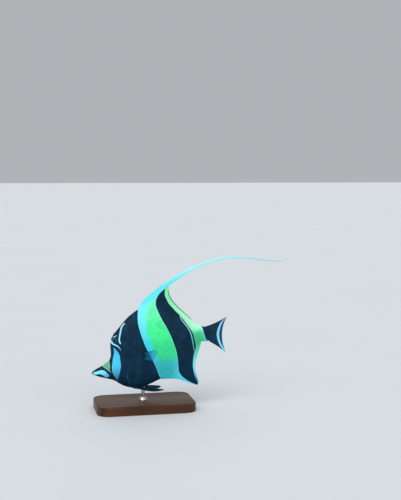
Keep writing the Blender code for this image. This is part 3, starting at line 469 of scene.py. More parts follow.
def close_ends(rings):
    """Adds a rounded end in front of the lips and a sleeve that closes inside the tail fin's root."""
    first, last = rings[0], rings[-1]
    centre = first.mean(axis=0) * (1.0, 0.0, 1.0)
    dome = []
    for k in range(DOME_RINGS, 0, -1):
        angle = 0.5 * math.pi * k / (DOME_RINGS + 0.6)
        dome.append(centre + (first - centre) * math.cos(angle) - (DOME_DEPTH * math.sin(angle), 0.0, 0.0))
    middle = last.mean(axis=0) * (1.0, 0.0, 1.0)
    way = rings[-1, 0] - rings[-1, SIDE_POINTS - 1]
    way = unit(np.array((way[2], 0.0, -way[0])))
    sleeve = []
    for k in range(1, SLEEVE_RINGS + 1):
        share = k / SLEEVE_RINGS
        flat = (1.0, 1.0 - 0.75 * share ** 1.5, 1.0)
        sleeve.append(middle + (last - middle) * flat * (1.0 - 0.12 * share ** 2) + way * SLEEVE_LENGTH * share)
    return np.concatenate([np.array(dome), rings, np.array(sleeve)])


def unwrap(station, down, side):
    """Place of a point of the trunk on its own unwrapped shape: the left side beside the right one."""
    share = 0.02 + 0.46 * np.clip(station, -0.3, LAST_STATION + 0.3) / (LAST_STATION + 0.4)
    return np.stack([share + 0.5 * (side > 0.0), 0.03 + 0.94 * down], axis=-1)


def make_skin(material):
    """The one skin of head, torso and tail stalk, and what the scales need to sit on it."""
    stations, downs, ring_down, rings = skin_grid()
    rings = close_ends(rings)
    station = np.concatenate([[0.0] * DOME_RINGS, stations, [LAST_STATION] * SLEEVE_RINGS])
    station, down = np.meshgrid(station, ring_down, indexing="ij")
    normals = grid_normals(rings)
    rings = rings + normals * relief(rings, normals, station, down)[..., None]
    rings = seat_eyes(rings, normals)
    rows, ring = down.shape
    side = np.where(np.arange(ring) < SIDE_POINTS + 2, -1.0, 1.0)[None, :] + 0.0 * down
    ends = np.array([rings[0].mean(axis=0) - (0.15, 0.0, 0.0), rings[-1].mean(axis=0)])
    points = np.concatenate([rings[:1].reshape(-1, 3), ends[:1], rings[1:].reshape(-1, 3), ends[1:]])
    body = grid_faces(rows - 1, ring, closed=True) + ring + 1
    k = np.arange(ring)
    bridge_quads = np.stack([k, (k + 1) % ring, ring + 1 + (k + 1) % ring, ring + 1 + k], axis=-1)
    faces = [bridge_quads, body, cap_faces(0, ring, True), cap_faces(len(points) - 1 - ring, ring, False)]
    uv = unwrap(station, down, side)
    uv = np.concatenate([uv[0], uv[0, :1], uv[1:].reshape(-1, 2), uv[-1, :1]])
    skin = new_piece("skin", points, faces, material, markings(points), uv)
    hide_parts("head", "torso", "tail_stalk")
    inner = slice(DOME_RINGS, DOME_RINGS + len(stations))
    return stations, downs, rings[inner], grid_normals(rings)[inner]


# Scales
SCALE_SPACING = 1.12
SCALE_OUTLINE = np.array(((-0.50, -0.26), (0.02, -0.50), (0.34, -0.40), (0.52, 0.0), (0.34, 0.40), (0.02, 0.50),
                          (-0.50, 0.26)))
SCALE_HEIGHTS = np.array((-0.06, 0.03, 0.13, 0.17, 0.13, 0.03, -0.06))
SCALE_LENGTH, SCALE_WIDTH, SCALE_SUNK = 1.75, 1.42, 0.16
SCALE_START = 2.6  # station on the snout where the scales begin
SCALE_TOP = ((0, 1, 6), (1, 5, 6), (1, 2, 5), (2, 4, 5), (2, 3, 4))
PATCH = 0.003
OWN_PLACE = 0.85  # how far a corner's markings follow its own place rather than its root's


def scale_size(station):
    return 0.48 + 0.52 * ramp(4.0, 9.5, station) - 0.2 * ramp(12.5, 15.5, station)


def sampled(grid, i, j):
    """A grid of vectors read between its rows and columns."""
    i, j = np.clip(i, 0, grid.shape[0] - 1.001), np.clip(j, 0, grid.shape[1] - 1.001)
    a, b = i.astype(int), j.astype(int)
    p, q = (i - a)[:, None], (j - b)[:, None]
    near = grid[a, b] * (1.0 - q) + grid[a, b + 1] * q
    far = grid[a + 1, b] * (1.0 - q) + grid[a + 1, b + 1] * q
    return near * (1.0 - p) + far * p


def scale_places(stations, downs, grid, draw):
    """Fractional rows and columns of the grid where the scales of one side have their roots."""
    line = grid[:, len(downs) // 2]
    length = np.concatenate([[0.0], np.cumsum(np.linalg.norm(np.diff(line, axis=0), axis=1))])
    density = 1.0 / (0.86 * SCALE_SPACING * scale_size(stations))
    count = np.concatenate([[0.0], np.cumsum(0.5 * (density[1:] + density[:-1]) * np.diff(length))])
    start = np.interp(SCALE_START, stations, count)
    rows, columns = [], []
    for k, at in enumerate(np.arange(start, count[-1] - 0.6)):
        row = np.interp(at, count, np.arange(len(stations)))
        column = grid[min(int(row), len(stations) - 1)]
        down_length = np.concatenate([[0.0], np.cumsum(np.linalg.norm(np.diff(column, axis=0), axis=1))])
        step = SCALE_SPACING * scale_size(np.interp(row, np.arange(len(stations)), stations))
        wanted = np.arange(0.3 + 0.5 * (k % 2), down_length[-1] / step - 0.2) * step
        wanted = wanted + draw.uniform(-0.03, 0.03, len(wanted)) * step
        columns.append(np.interp(wanted, down_length, np.arange(len(downs))))
        rows.append(row + draw.uniform(-0.05, 0.05, len(wanted)))
    return np.concatenate(rows), np.concatenate(columns)


def bare_skin(points, station, down, side):
    """Where no scales grow: eyes, nostrils, horns and the edge of the gill cover."""
    centre, axis = eye_frame(side)
    offset = points - centre
    out = np.linalg.norm(offset - (offset @ axis)[:, None] * axis, axis=1)
    bare = out < EYE_RADIUS * 1.26
    for x, z, radius in NOSTRILS:
        bare |= np.hypot(points[:, 0] - x, points[:, 2] - z) < radius * 1.9
    bare |= np.linalg.norm(points - mirrored(HORN_FOOT, side), axis=1) < 2.9
    behind = (station - gill_station(down)) * 10.0
    bare |= (np.abs(behind - 0.2) < 0.55) & (down > 0.2)
    return bare


def make_scales(stations, downs, rings, normals, material):
    """Small overlapping scales over the skin of head and body, pointing back."""
    draw = np.random.default_rng(SEED)
    right = SIDE_POINTS + 3
    halves = ((-1.0, "left", slice(0, SIDE_POINTS)), (1.0, "right", slice(right, right + SIDE_POINTS)))
    for side, word, columns in halves:
        grid, ways = rings[:, columns], normals[:, columns]
        if side > 0.0:
            grid, ways = grid[:, ::-1], ways[:, ::-1]
        i, j = scale_places(stations, downs, grid, draw)
        station = np.interp(i, np.arange(len(stations)), stations)
        down = np.interp(j, np.arange(len(downs)), downs)
        root = sampled(grid, i, j)
        keep = ~bare_skin(root, station, down, side)
        i, j, station, down, root = i[keep], j[keep], station[keep], down[keep], root[keep]
        up = unit(sampled(ways, i, j))
        back = sampled(grid, i + 1.0, j) - sampled(grid, i - 1.0, j)
        back = unit(back - up * np.sum(back * up, axis=1, keepdims=True))
        split = gill_station(down)
        for part, chosen in (("head", station < split), ("body", station >= split)):
            scale_piece(f"scales_{part}_{word}", root[chosen], up[chosen], back[chosen], station[chosen],
                        down[chosen], side, draw, material)


def scale_piece(name, root, up, back, station, down, side, draw, material):
    """Closed scales on their roots. Each has its patch of the map at its root's place."""
    count, corners = len(root), len(SCALE_OUTLINE)
    size = scale_size(station) * draw.uniform(0.97, 1.03, count)
    aside = np.cross(up, back)
    lift = draw.uniform(0.92, 1.08, count) * size
    reach = SCALE_OUTLINE[None] * (size[:, None, None] * (SCALE_LENGTH, SCALE_WIDTH))
    flat = root[:, None] + reach[..., :1] * back[:, None] + reach[..., 1:] * aside[:, None]
    top = flat + (SCALE_HEIGHTS[None] * lift[:, None])[..., None] * up[:, None]
    points = np.concatenate([top, flat - SCALE_SUNK * up[:, None]], axis=1)
    faces = list(SCALE_TOP) + [tuple(corners + c for c in reversed(face)) for face in SCALE_TOP]
    for k in range(corners):
        after = (k + 1) % corners
        faces += [(after, k, corners + k), (after, corners + k, corners + after)]
    faces = (np.array(faces)[None] + (2 * corners * np.arange(count))[:, None, None]).reshape(-1, 3)
    uv = unwrap(station, down, side)[:, None] + PATCH * 0.5 * np.tile(SCALE_OUTLINE, (2, 1))[None]
    points = points.reshape(-1, 3)
    attributes = markings(OWN_PLACE * points + (1.0 - OWN_PLACE) * np.repeat(root, 2 * corners, axis=0))
    attributes["scale_edge"] = np.tile(np.tile((0.0, 0.5, 0.85, 1.0, 0.85, 0.5, 0.0), 2), count)
    attributes["scale_tint"] = np.repeat(draw.uniform(-1.0, 1.0, count), 2 * corners)
    piece = new_piece(name, points, [faces], material, attributes, uv.reshape(-1, 2), smooth_deg=50.0)


# Fins
FIN_SUNK = 1.6
MEMBRANE_HALF, RAY_RISE = 0.15, 0.2
MARGIN_WIDTH = 1.8  # of the dark hem of the dorsal fin


def ray_profile(across, out, first_fork, second_fork):
    """Height from 0 to 1 of a ray and its branches over the membrane, at a place across its own strip."""
    one = 0.2 * ramp(first_fork, first_fork + 0.14, out)
    two = 0.1 * ramp(second_fork, second_fork + 0.12, out)
    width = 0.15 - 0.07 * ramp(first_fork, second_fork + 0.1, out)
    height = np.zeros(np.broadcast(across, out).shape)
    for a in (-1.0, 1.0):
        for b in (-1.0, 1.0):
            height = np.maximum(height, bell(across + a * one + b * two, width))
    return height


def fin_strips(rays, per_ray):
    """Share along the fin and the place across its ray's strip, from -0.5 to 0.5, for each column."""
    columns = rays * per_ray + 1
    along = np.linspace(0.0, 1.0, columns)
    across = (along * rays) % 1.0 - 0.5
    across[-1] = 0.5
    return along, across


def trunk_edge(first, last, down, along):
    station = first + (last - first) * along
    x, _, z = trunk_points(station, np.full_like(station, down))
    return np.stack([x, z], axis=-1)


def lifted(plane, sway):
    return np.stack([plane[..., 0], sway, plane[..., 1]], axis=-1)


def fin_attributes(ridge, out, mm):
    return {"ray": ridge.reshape(-1), "out": (out + 0.0 * ridge).reshape(-1), "ray_mm": (mm + 0.0 * ridge).reshape(-1)}


def median_fin(name, span, down, outward, edge, bulge_line, rays, spines, sway, material):
    """The dorsal or anal fin, with its root sunk in the back or belly."""
    along, across = fin_strips(rays, 10)
    roots = trunk_edge(*span, down, along)
    ends = evenly(edge, spline(RAY_END_SHARES, along * (len(RAY_END_SHARES) - 1)))
    way = unit(ends - roots)
    length = np.linalg.norm(ends - roots, axis=1)
    spine = along * rays < spines
    notch = np.where(spine, 0.25, 0.55) * (2.0 * np.abs(across)) ** 2 * ramp(2.0, 8.0, length)
    ends = ends - way * notch[:, None]
    out = np.concatenate([[-1.0, -0.5], np.linspace(0.0, 1.0, 56)])
    lead = unit(ends[:1] - roots[:1])[0]
    aside = outward * np.array((-lead[1], lead[0]))
    bulge = spline(bulge_line, np.maximum(out, 0.0) * (len(bulge_line) - 1))
    plane = roots[:, None] + (ends - roots)[:, None] * np.maximum(out, 0.0)[None, :, None]
    plane = plane + way[:, None] * (FIN_SUNK * np.minimum(out, 0.0))[None, :, None]
    plane = plane + ((1.0 - along) ** BULGE_POWER)[:, None, None] * bulge[None, :, None] * aside
    mm = np.maximum(out, 0.0)[None] * length[:, None]
    thin = ramp(-0.5, 8.5, mm + FIN_SUNK * np.minimum(out, 0.0)[None])
    ridge = ray_profile(across[:, None], out[None], 0.55, 0.8)
    ridge = np.where(spine[:, None], bell(across[:, None], 0.3), ridge)
    rise = RAY_RISE * np.where(spine, 1.9, 1.0)[:, None] * (1.0 - 0.5 * np.maximum(out, 0.0))[None]
    halves = 1.25 + (MEMBRANE_HALF - 1.25) * thin + ridge * rise * thin
    halves = halves * (1.0 - 0.45 * ramp(0.9, 1.0, out)[None])
    wave = sway * np.maximum(out, 0.0)[None] ** 2 * np.sin(5.2 * along + 0.6)[:, None] * ramp(0.0, 30.0, mm)
    middle = lifted(plane, wave)
    attributes = fin_attributes(ridge, np.maximum(out, 0.0)[None], mm)
    past_spines = ramp(0.1, 0.16, along)
    attributes["margin"] = (1.0 - (length[:, None] - mm) / MARGIN_WIDTH * past_spines[:, None]).reshape(-1)
    attributes["margin"][np.repeat(past_spines < 0.5, len(out))] = -1.0
    normals = np.broadcast_to(np.array((0.0, 1.0, 0.0)), middle.shape)
    return sheet(name, middle, normals, halves, material, attributes)


def make_tail(material):
    """The tail fin: branching rays from a fleshy root to a hollow trailing edge."""
    rays = 17
    along, across = fin_strips(rays, 22)
    top, bottom = TRUNK_ROWS[-1][0:2], TRUNK_ROWS[-1][2:4]
    centre, down = (top + bottom) / 2.0, bottom - top
    way = unit(down)
    away = np.array((-way[1], way[0]))
    roots = top + way * 0.6 + (down - 1.2 * way) * along[:, None]
    height = TAIL_UPPER_TIP[1] + (TAIL_LOWER_TIP[1] - TAIL_UPPER_TIP[1]) * along
    hollow = ((height - TAIL_FORK[1]) / (TAIL_UPPER_TIP[1] - TAIL_LOWER_TIP[1]) * 2.0) ** 2
    reach = TAIL_FORK[0] + (TAIL_UPPER_TIP[0] - TAIL_FORK[0]) * np.minimum(hollow, 1.0)
    reach = reach - 0.35 * (2.0 * np.abs(across)) ** 2
    x, z = turned(reach, height, -math.radians(TAIL_DROOP_DEG))
    ends = centre + np.stack([x, z], axis=-1)
    out = np.concatenate([[-1.0, -0.5], np.linspace(0.0, 1.0, 60)])
    ahead = np.maximum(out, 0.0)
    spread = 2.0 * along - 1.0
    flare = 1.0 - 0.4 * ahead[None] * (1.0 - ahead[None]) * np.abs(spread)[:, None]
    plane = roots[:, None] + (ends - roots)[:, None] * ahead[None, :, None]
    middle_line = plane[len(along) // 2][None]
    plane = middle_line + (plane - middle_line) * flare[..., None]
    plane = plane + away * (FIN_SUNK * np.minimum(out, 0.0))[None, :, None]
    lens = np.sqrt(np.maximum(1.0 - (0.97 * spread) ** 2, 0.0))
    root_half = 0.6 + 2.5 * lens
    thin = ramp(0.0, 0.42, out)[None]
    ridge = ray_profile(across[:, None], out[None], 0.3, 0.6)
    outer = 1.0 + 1.2 * ramp(0.9, 1.0, np.abs(spread))[:, None]
    rise = 0.24 * outer * (1.0 - 0.6 * ahead)[None]
    halves = root_half[:, None] + (MEMBRANE_HALF - root_half[:, None]) * thin + ridge * rise * ramp(0.05, 0.4, out)[None]
    halves = halves * (1.0 - 0.4 * ramp(0.9, 1.0, out)[None])
    mm = ahead[None] * np.linalg.norm(ends - roots, axis=1)[:, None]
    wave = 0.8 * ahead[None] ** 2 * np.sin(3.4 * along + 0.4)[:, None]
    middle = lifted(plane, wave)
    attributes = fin_attributes(ridge, ahead[None], mm)
    x, z = middle[..., 0].reshape(-1), middle[..., 2].reshape(-1)
    crescent = np.vstack([smooth(CRESCENT_FRONT), smooth(CRESCENT_REAR)[::-1]])
    fringe = np.vstack([smooth(CRESCENT_REAR), ((205.0, -12.0), (205.0, 44.0))])
    attributes["crescent"] = loop_depth(x, z, crescent)
    attributes["fringe"] = loop_depth(x, z, fringe)
    attributes["behind"] = line_distance(x, z, smooth(CRESCENT_FRONT))
    attributes["down"] = np.repeat(along, len(out))
    normals = np.broadcast_to(np.array((0.0, 1.0, 0.0)), middle.shape)
    tail = sheet("tail_fin_skin", middle, normals, halves, material, attributes)
    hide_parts("tail_fin")


def paired_fin(name, side, sizes, rays, per_ray, reach_of, forks, rise, material):
    """A pectoral or pelvic fin with its root in the body."""
    along, across = fin_strips(rays, per_ray)
    first, last, axis, inward = [mirrored(sizes[key], side) for key in ("first", "last", "axis", "inward")]
    axis, inward = unit(axis), unit(inward)
    down = unit((last - first) - axis * np.dot(last - first, axis))
    normal = np.cross(axis, down)
    roots = first + (last - first) * along[:, None]
    angles = np.radians(sizes["fan_deg"][0] + (sizes["fan_deg"][1] - sizes["fan_deg"][0]) * along)
    ways = np.cos(angles)[:, None] * axis + np.sin(angles)[:, None] * down
    out = np.concatenate([[-1.0, -0.5, 0.0], np.geomspace(0.03, 1.0, 46)])
    ahead = np.maximum(out, 0.0)
    length = sizes["length"] * reach_of(along) - 0.45 * (2.0 * np.abs(across)) ** 2
    mm = ahead[None] * length[:, None]
    middle = roots[:, None] + mm[..., None] * ways[:, None]
    middle = middle - inward * (2.0 * np.minimum(out, 0.0))[None, :, None]
    middle = middle + (sizes["cup"] * mm * ahead[None])[..., None] * normal * side
    wave = 0.5 * ahead[None] ** 1.5 * np.sin(6.0 * along + 0.5)[:, None]
    middle = middle + wave[..., None] * normal
    ridge = ray_profile(across[:, None], out[None], *forks)
    halves = (0.85 + (MEMBRANE_HALF * 0.8 - 0.85) * ramp(0.0, 0.3, out))[None]
    halves = halves + ridge * rise * (1.0 - 0.55 * ahead)[None] * ramp(0.0, 0.15, out)[None]
    halves = halves * (1.0 - 0.45 * ramp(0.9, 1.0, out)[None])
    normals = np.broadcast_to(normal, middle.shape)
    return sheet(name, middle, normals, halves, material, fin_attributes(ridge, ahead[None], mm))


def pectoral_reach(along):
    return spline((0.83, 0.98, 1.0, 0.97, 0.91, 0.83, 0.73, 0.62), along * 7.0)


def pelvic_reach(along):
    return np.interp(along, (0.0, 0.15, 0.4, 0.7, 1.0), (0.96, 1.0, 0.84, 0.6, 0.36))


def make_fins(materials):
    dorsal = median_fin("dorsal_fin_skin", (DORSAL_START, DORSAL_END), 0.0, 1.0, DORSAL_EDGE, DORSAL_BULGE, 46, 6,
                        0.9, materials["fin"])
    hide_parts("dorsal_fin")
    anal = median_fin("anal_fin_skin", (ANAL_START, ANAL_END), 1.0, -1.0, ANAL_EDGE, ANAL_BULGE, 37, 3,
                      0.7, materials["fin"])
    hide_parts("anal_fin")
    make_tail(materials["tail"])
    for side, word in ((-1, "left"), (1, "right")):
        fin = paired_fin("pectoral_skin_" + word, side, PECTORAL, 19, 12, pectoral_reach, (0.4, 0.7), 0.2,
                         materials["pectoral"])
        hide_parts("pectoral_fin_" + word)
        fin = paired_fin("pelvic_skin_" + word, side, PELVIC, 6, 26, pelvic_reach, (0.3, 0.6), 0.28,
                         materials["pelvic"])
        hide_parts("pelvic_fin_" + word)


def make_streamer(material):
    """The streamer in one piece: a spine along its upper side and a membrane under it, drawn out to a thread."""
    line = ((104.5, 90.6), (111.4, 95.6)) + STREAMER_LINE
    fine = smooth(STREAMER_LINE, 40)
    total = np.linalg.norm(np.diff(fine, axis=0), axis=1).sum()
    whole = smooth(line, 40)
    whole_length = np.linalg.norm(np.diff(whole, axis=0), axis=1).sum()
    shares = np.linspace(0.0, 1.0, 260)
    middle = evenly(line, shares)
    way = unit(np.gradient(middle, axis=0))
    share = 1.0 - (1.0 - shares) * whole_length / total
    held = np.clip(share, 0.0, 1.0)
    tall = spline(STREAMER_HALF_HEIGHT, held * (len(STREAMER_HALF_HEIGHT) - 1))
    thick = spline(STREAMER_HALF_THICKNESS, held * (len(STREAMER_HALF_THICKNESS) - 1))
    sunk = ramp(-0.085, 0.02, share)
    tall, thick = tall * (0.55 + 0.45 * sunk), thick * (0.25 + 0.6 * sunk)
    sides = 20
    angle = 2.0 * math.pi * (np.arange(sides) + 0.5) / sides
    rise, out = np.cos(angle), np.sin(angle)
    web = 0.45 + 0.55 * bell(rise - 0.55, 0.42) + 0.1 * bell(rise + 0.4, 0.2)
    sway = STREAMER_SWAY * held ** 2
    x = middle[:, :1] - way[:, 1:] * rise * tall[:, None]
    z = middle[:, 1:] + way[:, :1] * rise * tall[:, None]
    y = sway[:, None] + out * web * thick[:, None]
    points = np.stack([x, y, z], axis=-1)
    tips = np.array([points[0].mean(axis=0), points[-1].mean(axis=0) + (0.4, 0.0, 0.0)])
    points = np.concatenate([points[0], tips[:1], points[1:].reshape(-1, 3), tips[1:]])
    k = np.arange(sides)
    second = sides + 1
    first_row = np.stack([k, (k + 1) % sides, second + (k + 1) % sides, second + k], axis=-1)
    faces = [first_row, grid_faces(len(shares) - 1, sides, closed=True) + second, cap_faces(0, sides, True),
             cap_faces(len(points) - 1 - sides, sides, False)]
    lengthwise = np.repeat(held, sides)
    lengthwise = np.concatenate([lengthwise[:sides], lengthwise[:1], lengthwise[sides:], lengthwise[-1:]])
    around = np.tile(rise, len(shares))
    around = np.concatenate([around[:sides], [0.0], around[sides:], [0.0]])
    attributes = {"place": points, "out": lengthwise, "ray": around}
    streamer = new_piece("streamer", points, faces, material, attributes)
    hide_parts("streamer_root", "streamer_middle", "streamer_tip")


# Eyes and horns
def make_eye(side, word, material):
    """An eyeball with a domed pupil, a sunk iris and a rounded rim."""
    centre, axis = eye_frame(side)
    first = unit(np.cross(axis, (0.0, 0.0, 1.0)))
    second = np.cross(axis, first)
    rows, ring = 49, 72
    polar = np.linspace(0.0, math.pi, rows)[1:-1]
    around = np.linspace(0.0, 2.0 * math.pi, ring, endpoint=False)
    radial, high = np.sin(polar), np.cos(polar)
    front = polar < math.pi / 2.0
    shape = 0.16 * ramp(0.46, 0.30, radial) - 0.10 * bell(radial - 0.62, 0.16)
    high = EYE_HALF_DEPTH * high + np.where(front, shape, 0.0)
    spokes = np.cos(around)[:, None] * first + np.sin(around)[:, None] * second
    grid = centre + (EYE_RADIUS * radial)[:, None, None] * spokes + high[:, None, None] * axis
    poles = centre + np.array((EYE_HALF_DEPTH + 0.16, -EYE_HALF_DEPTH))[:, None] * axis
    points = np.concatenate([grid[0], poles[:1], grid[1:].reshape(-1, 3), poles[1:]])
    k = np.arange(ring)
    second_row = ring + 1
    join = np.stack([k, (k + 1) % ring, second_row + (k + 1) % ring, second_row + k], axis=-1)
    faces = [join, grid_faces(rows - 3, ring, closed=True) + second_row, cap_faces(0, ring, True),
             cap_faces(len(points) - 1 - ring, ring, False)]
    radius = np.repeat(radial, ring)
    radius = np.concatenate([radius[:ring], [0.0], radius[ring:], [0.0]])
    turn = np.tile(np.stack([np.cos(around), np.sin(around)], axis=-1), (len(radial), 1))
    turn = np.concatenate([turn[:ring], turn[:1], turn[ring:], turn[:1]])
    spoke = np.concatenate([turn, radius[:, None]], axis=1)
    eye = new_piece("eyeball_" + word, points, faces, material, {"eye_radius": radius, "spoke": spoke})
    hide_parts("eye_" + word)


def make_horn(side, word, material):
    """The small brow horn, bent a little and rounded at its tip, rising from a spread foot."""
    foot, tip = mirrored(HORN_FOOT, side), mirrored(HORN_TIP, side)
    axis = unit(tip - foot)
    first = unit(np.cross(axis, (1.0, 0.0, 0.0)))
    second = np.cross(axis, first)
    rows, ring = 26, 28
    share = np.linspace(0.0, 1.0, rows)
    length = np.linalg.norm(tip - foot)
    radius = HORN_TIP_RADIUS + (HORN_RADIUS * 0.8 - HORN_TIP_RADIUS) * (1.0 - share) ** 1.15
    radius = radius * (1.0 + 0.05 * np.sin(22.0 * share)) * np.sqrt(np.maximum(1.0 - share ** 9, 0.0004))
    bend = 0.18 * np.sin(math.pi * share)
    around = np.linspace(0.0, 2.0 * math.pi, ring, endpoint=False)
    spokes = np.cos(around)[:, None] * first + np.sin(around)[:, None] * second
    middle = foot + (share * length)[:, None] * axis + bend[:, None] * np.array((0.0, 0.0, 1.0))
    grid = middle[:, None] + radius[:, None, None] * spokes
    ends = np.array([middle[0], middle[-1] + 0.03 * axis])
    points = np.concatenate([grid[0], ends[:1], grid[1:].reshape(-1, 3), ends[1:]])
    k = np.arange(ring)
    second_row = ring + 1
    join = np.stack([k, second_row + k, second_row + (k + 1) % ring, (k + 1) % ring], axis=-1)
    faces = [join, (grid_faces(rows - 1, ring, closed=True) + second_row)[:, ::-1], cap_faces(0, ring, False),
             cap_faces(len(points) - 1 - ring, ring, True)]
    horn = new_piece("brow_horn_" + word, points, faces, material, markings(points))
    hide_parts("horn_" + word)


# Materials
def rgb(red, green, blue):
    """A colour given from 0 to 255, as linear light."""
    values = [v / 255.0 for v in (red, green, blue)]
    return tuple(v / 12.92 if v <= 0.04045 else ((v + 0.055) / 1.055) ** 2.4 for v in values) + (1.0,)


BLACK, BLACK_BLUE = rgb(1, 36, 54), rgb(2, 46, 76)
WHITE_TOP, WHITE_LOW = rgb(116, 243, 250), rgb(70, 226, 250)
YELLOW_TOP, YELLOW_MIDDLE, YELLOW_LOW = rgb(130, 255, 200), rgb(72, 255, 154), rgb(56, 234, 152)
YELLOW_DEEP = rgb(46, 222, 136)
TEAL, TEAL_BLUE, RIM = rgb(56, 198, 204), rgb(90, 220, 255), rgb(128, 253, 200)
# Painted light: a paler skin colour for the crease at the anal fin's root, where shade falls
FOLD_PAINTED_LIGHT = rgb(88, 226, 238)
REAR_TOP, REAR_MIDDLE, REAR_EDGE = rgb(142, 245, 176), rgb(156, 252, 190), rgb(184, 255, 216)
REAR_PALE, STALK_PALE = rgb(180, 255, 234), rgb(112, 216, 206)
STALK_TOP, STALK, ANAL_MIDDLE = rgb(88, 232, 158), rgb(60, 200, 140), rgb(96, 218, 196)
ANAL_LOW, ANAL_TIP = rgb(134, 232, 255), rgb(72, 148, 188)
FACE_TOP, FACE_MIDDLE, FACE_LOW = rgb(72, 186, 236), rgb(76, 212, 255), rgb(70, 160, 202)
FACE_BRIGHT = rgb(104, 232, 255)
# The first colour paints the white lines of the head and a painted highlight by the brow horn; the second the thin
# pale line of the flank and a painted highlight low on the belly
LINE_WHITE_AND_HIGHLIGHT, THIN_LINE_AND_HIGHLIGHT_COLOUR = rgb(172, 238, 255), rgb(150, 214, 228)
SADDLE_YELLOW, SADDLE_PALE = rgb(106, 176, 128), rgb(134, 204, 178)
SNOUT_WHITE, SNOUT_LOW = rgb(136, 242, 255), rgb(90, 208, 242)
CRESCENT, CRESCENT_LOW, FRINGE, HEM = rgb(142, 226, 255), rgb(50, 142, 196), rgb(12, 72, 110), rgb(14, 74, 88)
STREAMER_ROOT, STREAMER_NEAR, STREAMER_FAR = rgb(112, 246, 252), rgb(176, 253, 255), rgb(148, 216, 236)


SHEEN = 0.1  # low, as under water
LEVEL_SLOPE = 0.15  # lifts a height in the fish's frame, towards its tail, to one over the floor


class Graph:
    """A material and short ways to make its nodes."""

    def __init__(self, name):
        self.material = bpy.data.materials.new(name)
        self.material.use_nodes = True
        self.tree = self.material.node_tree
        self.shader = self.tree.nodes["Principled BSDF"]

    def node(self, kind, **settings):
        made = self.tree.nodes.new(kind)
        for key, value in settings.items():
            setattr(made, key, value)
        return made

    def feed(self, socket, value):
        if isinstance(value, bpy.types.NodeSocket):
            self.tree.links.new(value, socket)
        else:
            socket.default_value = value

    def set(self, **values):
        """Feeds sockets of the shader by their names, with _ for a space."""
        for key, value in values.items():
            self.feed(self.shader.inputs[key.replace("_", " ")], value)

    def number(self, name):
        return self.node("ShaderNodeAttribute", attribute_name=name).outputs["Fac"]

    def vector(self, name):
        return self.node("ShaderNodeAttribute", attribute_name=name).outputs["Vector"]

    def split(self, vector):
        made = self.node("ShaderNodeSeparateXYZ")
        self.feed(made.inputs[0], vector)
        return [made.outputs[axis] for axis in "XYZ"]

    def scaled(self, vector, factors):
        made = self.node("ShaderNodeVectorMath", operation="MULTIPLY")
        self.feed(made.inputs[0], vector)
        self.feed(made.inputs[1], factors)
        return made.outputs[0]

    def math(self, operation, a, b=0.0, clamp=False):
        made = self.node("ShaderNodeMath", operation=operation, use_clamp=clamp)
        self.feed(made.inputs[0], a)
        self.feed(made.inputs[1], b)
        return made.outputs[0]

    def spread(self, value, low, high, bottom=0.0, top=1.0):
        """A smooth step of value from bottom at low to top at high."""
        made = self.node("ShaderNodeMapRange", interpolation_type="SMOOTHSTEP")
        turned_round = low > high
        if turned_round:
            low, high, bottom, top = high, low, top, bottom
        for slot, given in zip(range(5), (value, low, high, bottom, top)):
            self.feed(made.inputs[slot], given)
        return made.outputs[0]

    def mix(self, factor, a, b, blend="MIX"):
        made = self.node("ShaderNodeMix", data_type="RGBA", blend_type=blend)
        self.feed(made.inputs[0], factor)
        self.feed(made.inputs[6], a)
        self.feed(made.inputs[7], b)
        return made.outputs[2]

    def noise(self, vector, scale, detail=2.0):
        made = self.node("ShaderNodeTexNoise")
        self.feed(made.inputs["Vector"], vector)
        self.feed(made.inputs["Scale"], scale)
        self.feed(made.inputs["Detail"], detail)
        return made.outputs["Fac"]

    def bump(self, height, strength, distance):
        made = self.node("ShaderNodeBump")
        made.inputs["Strength"].default_value = strength
        made.inputs["Distance"].default_value = distance * MM
        self.feed(made.inputs["Height"], height)
        return made.outputs[0]


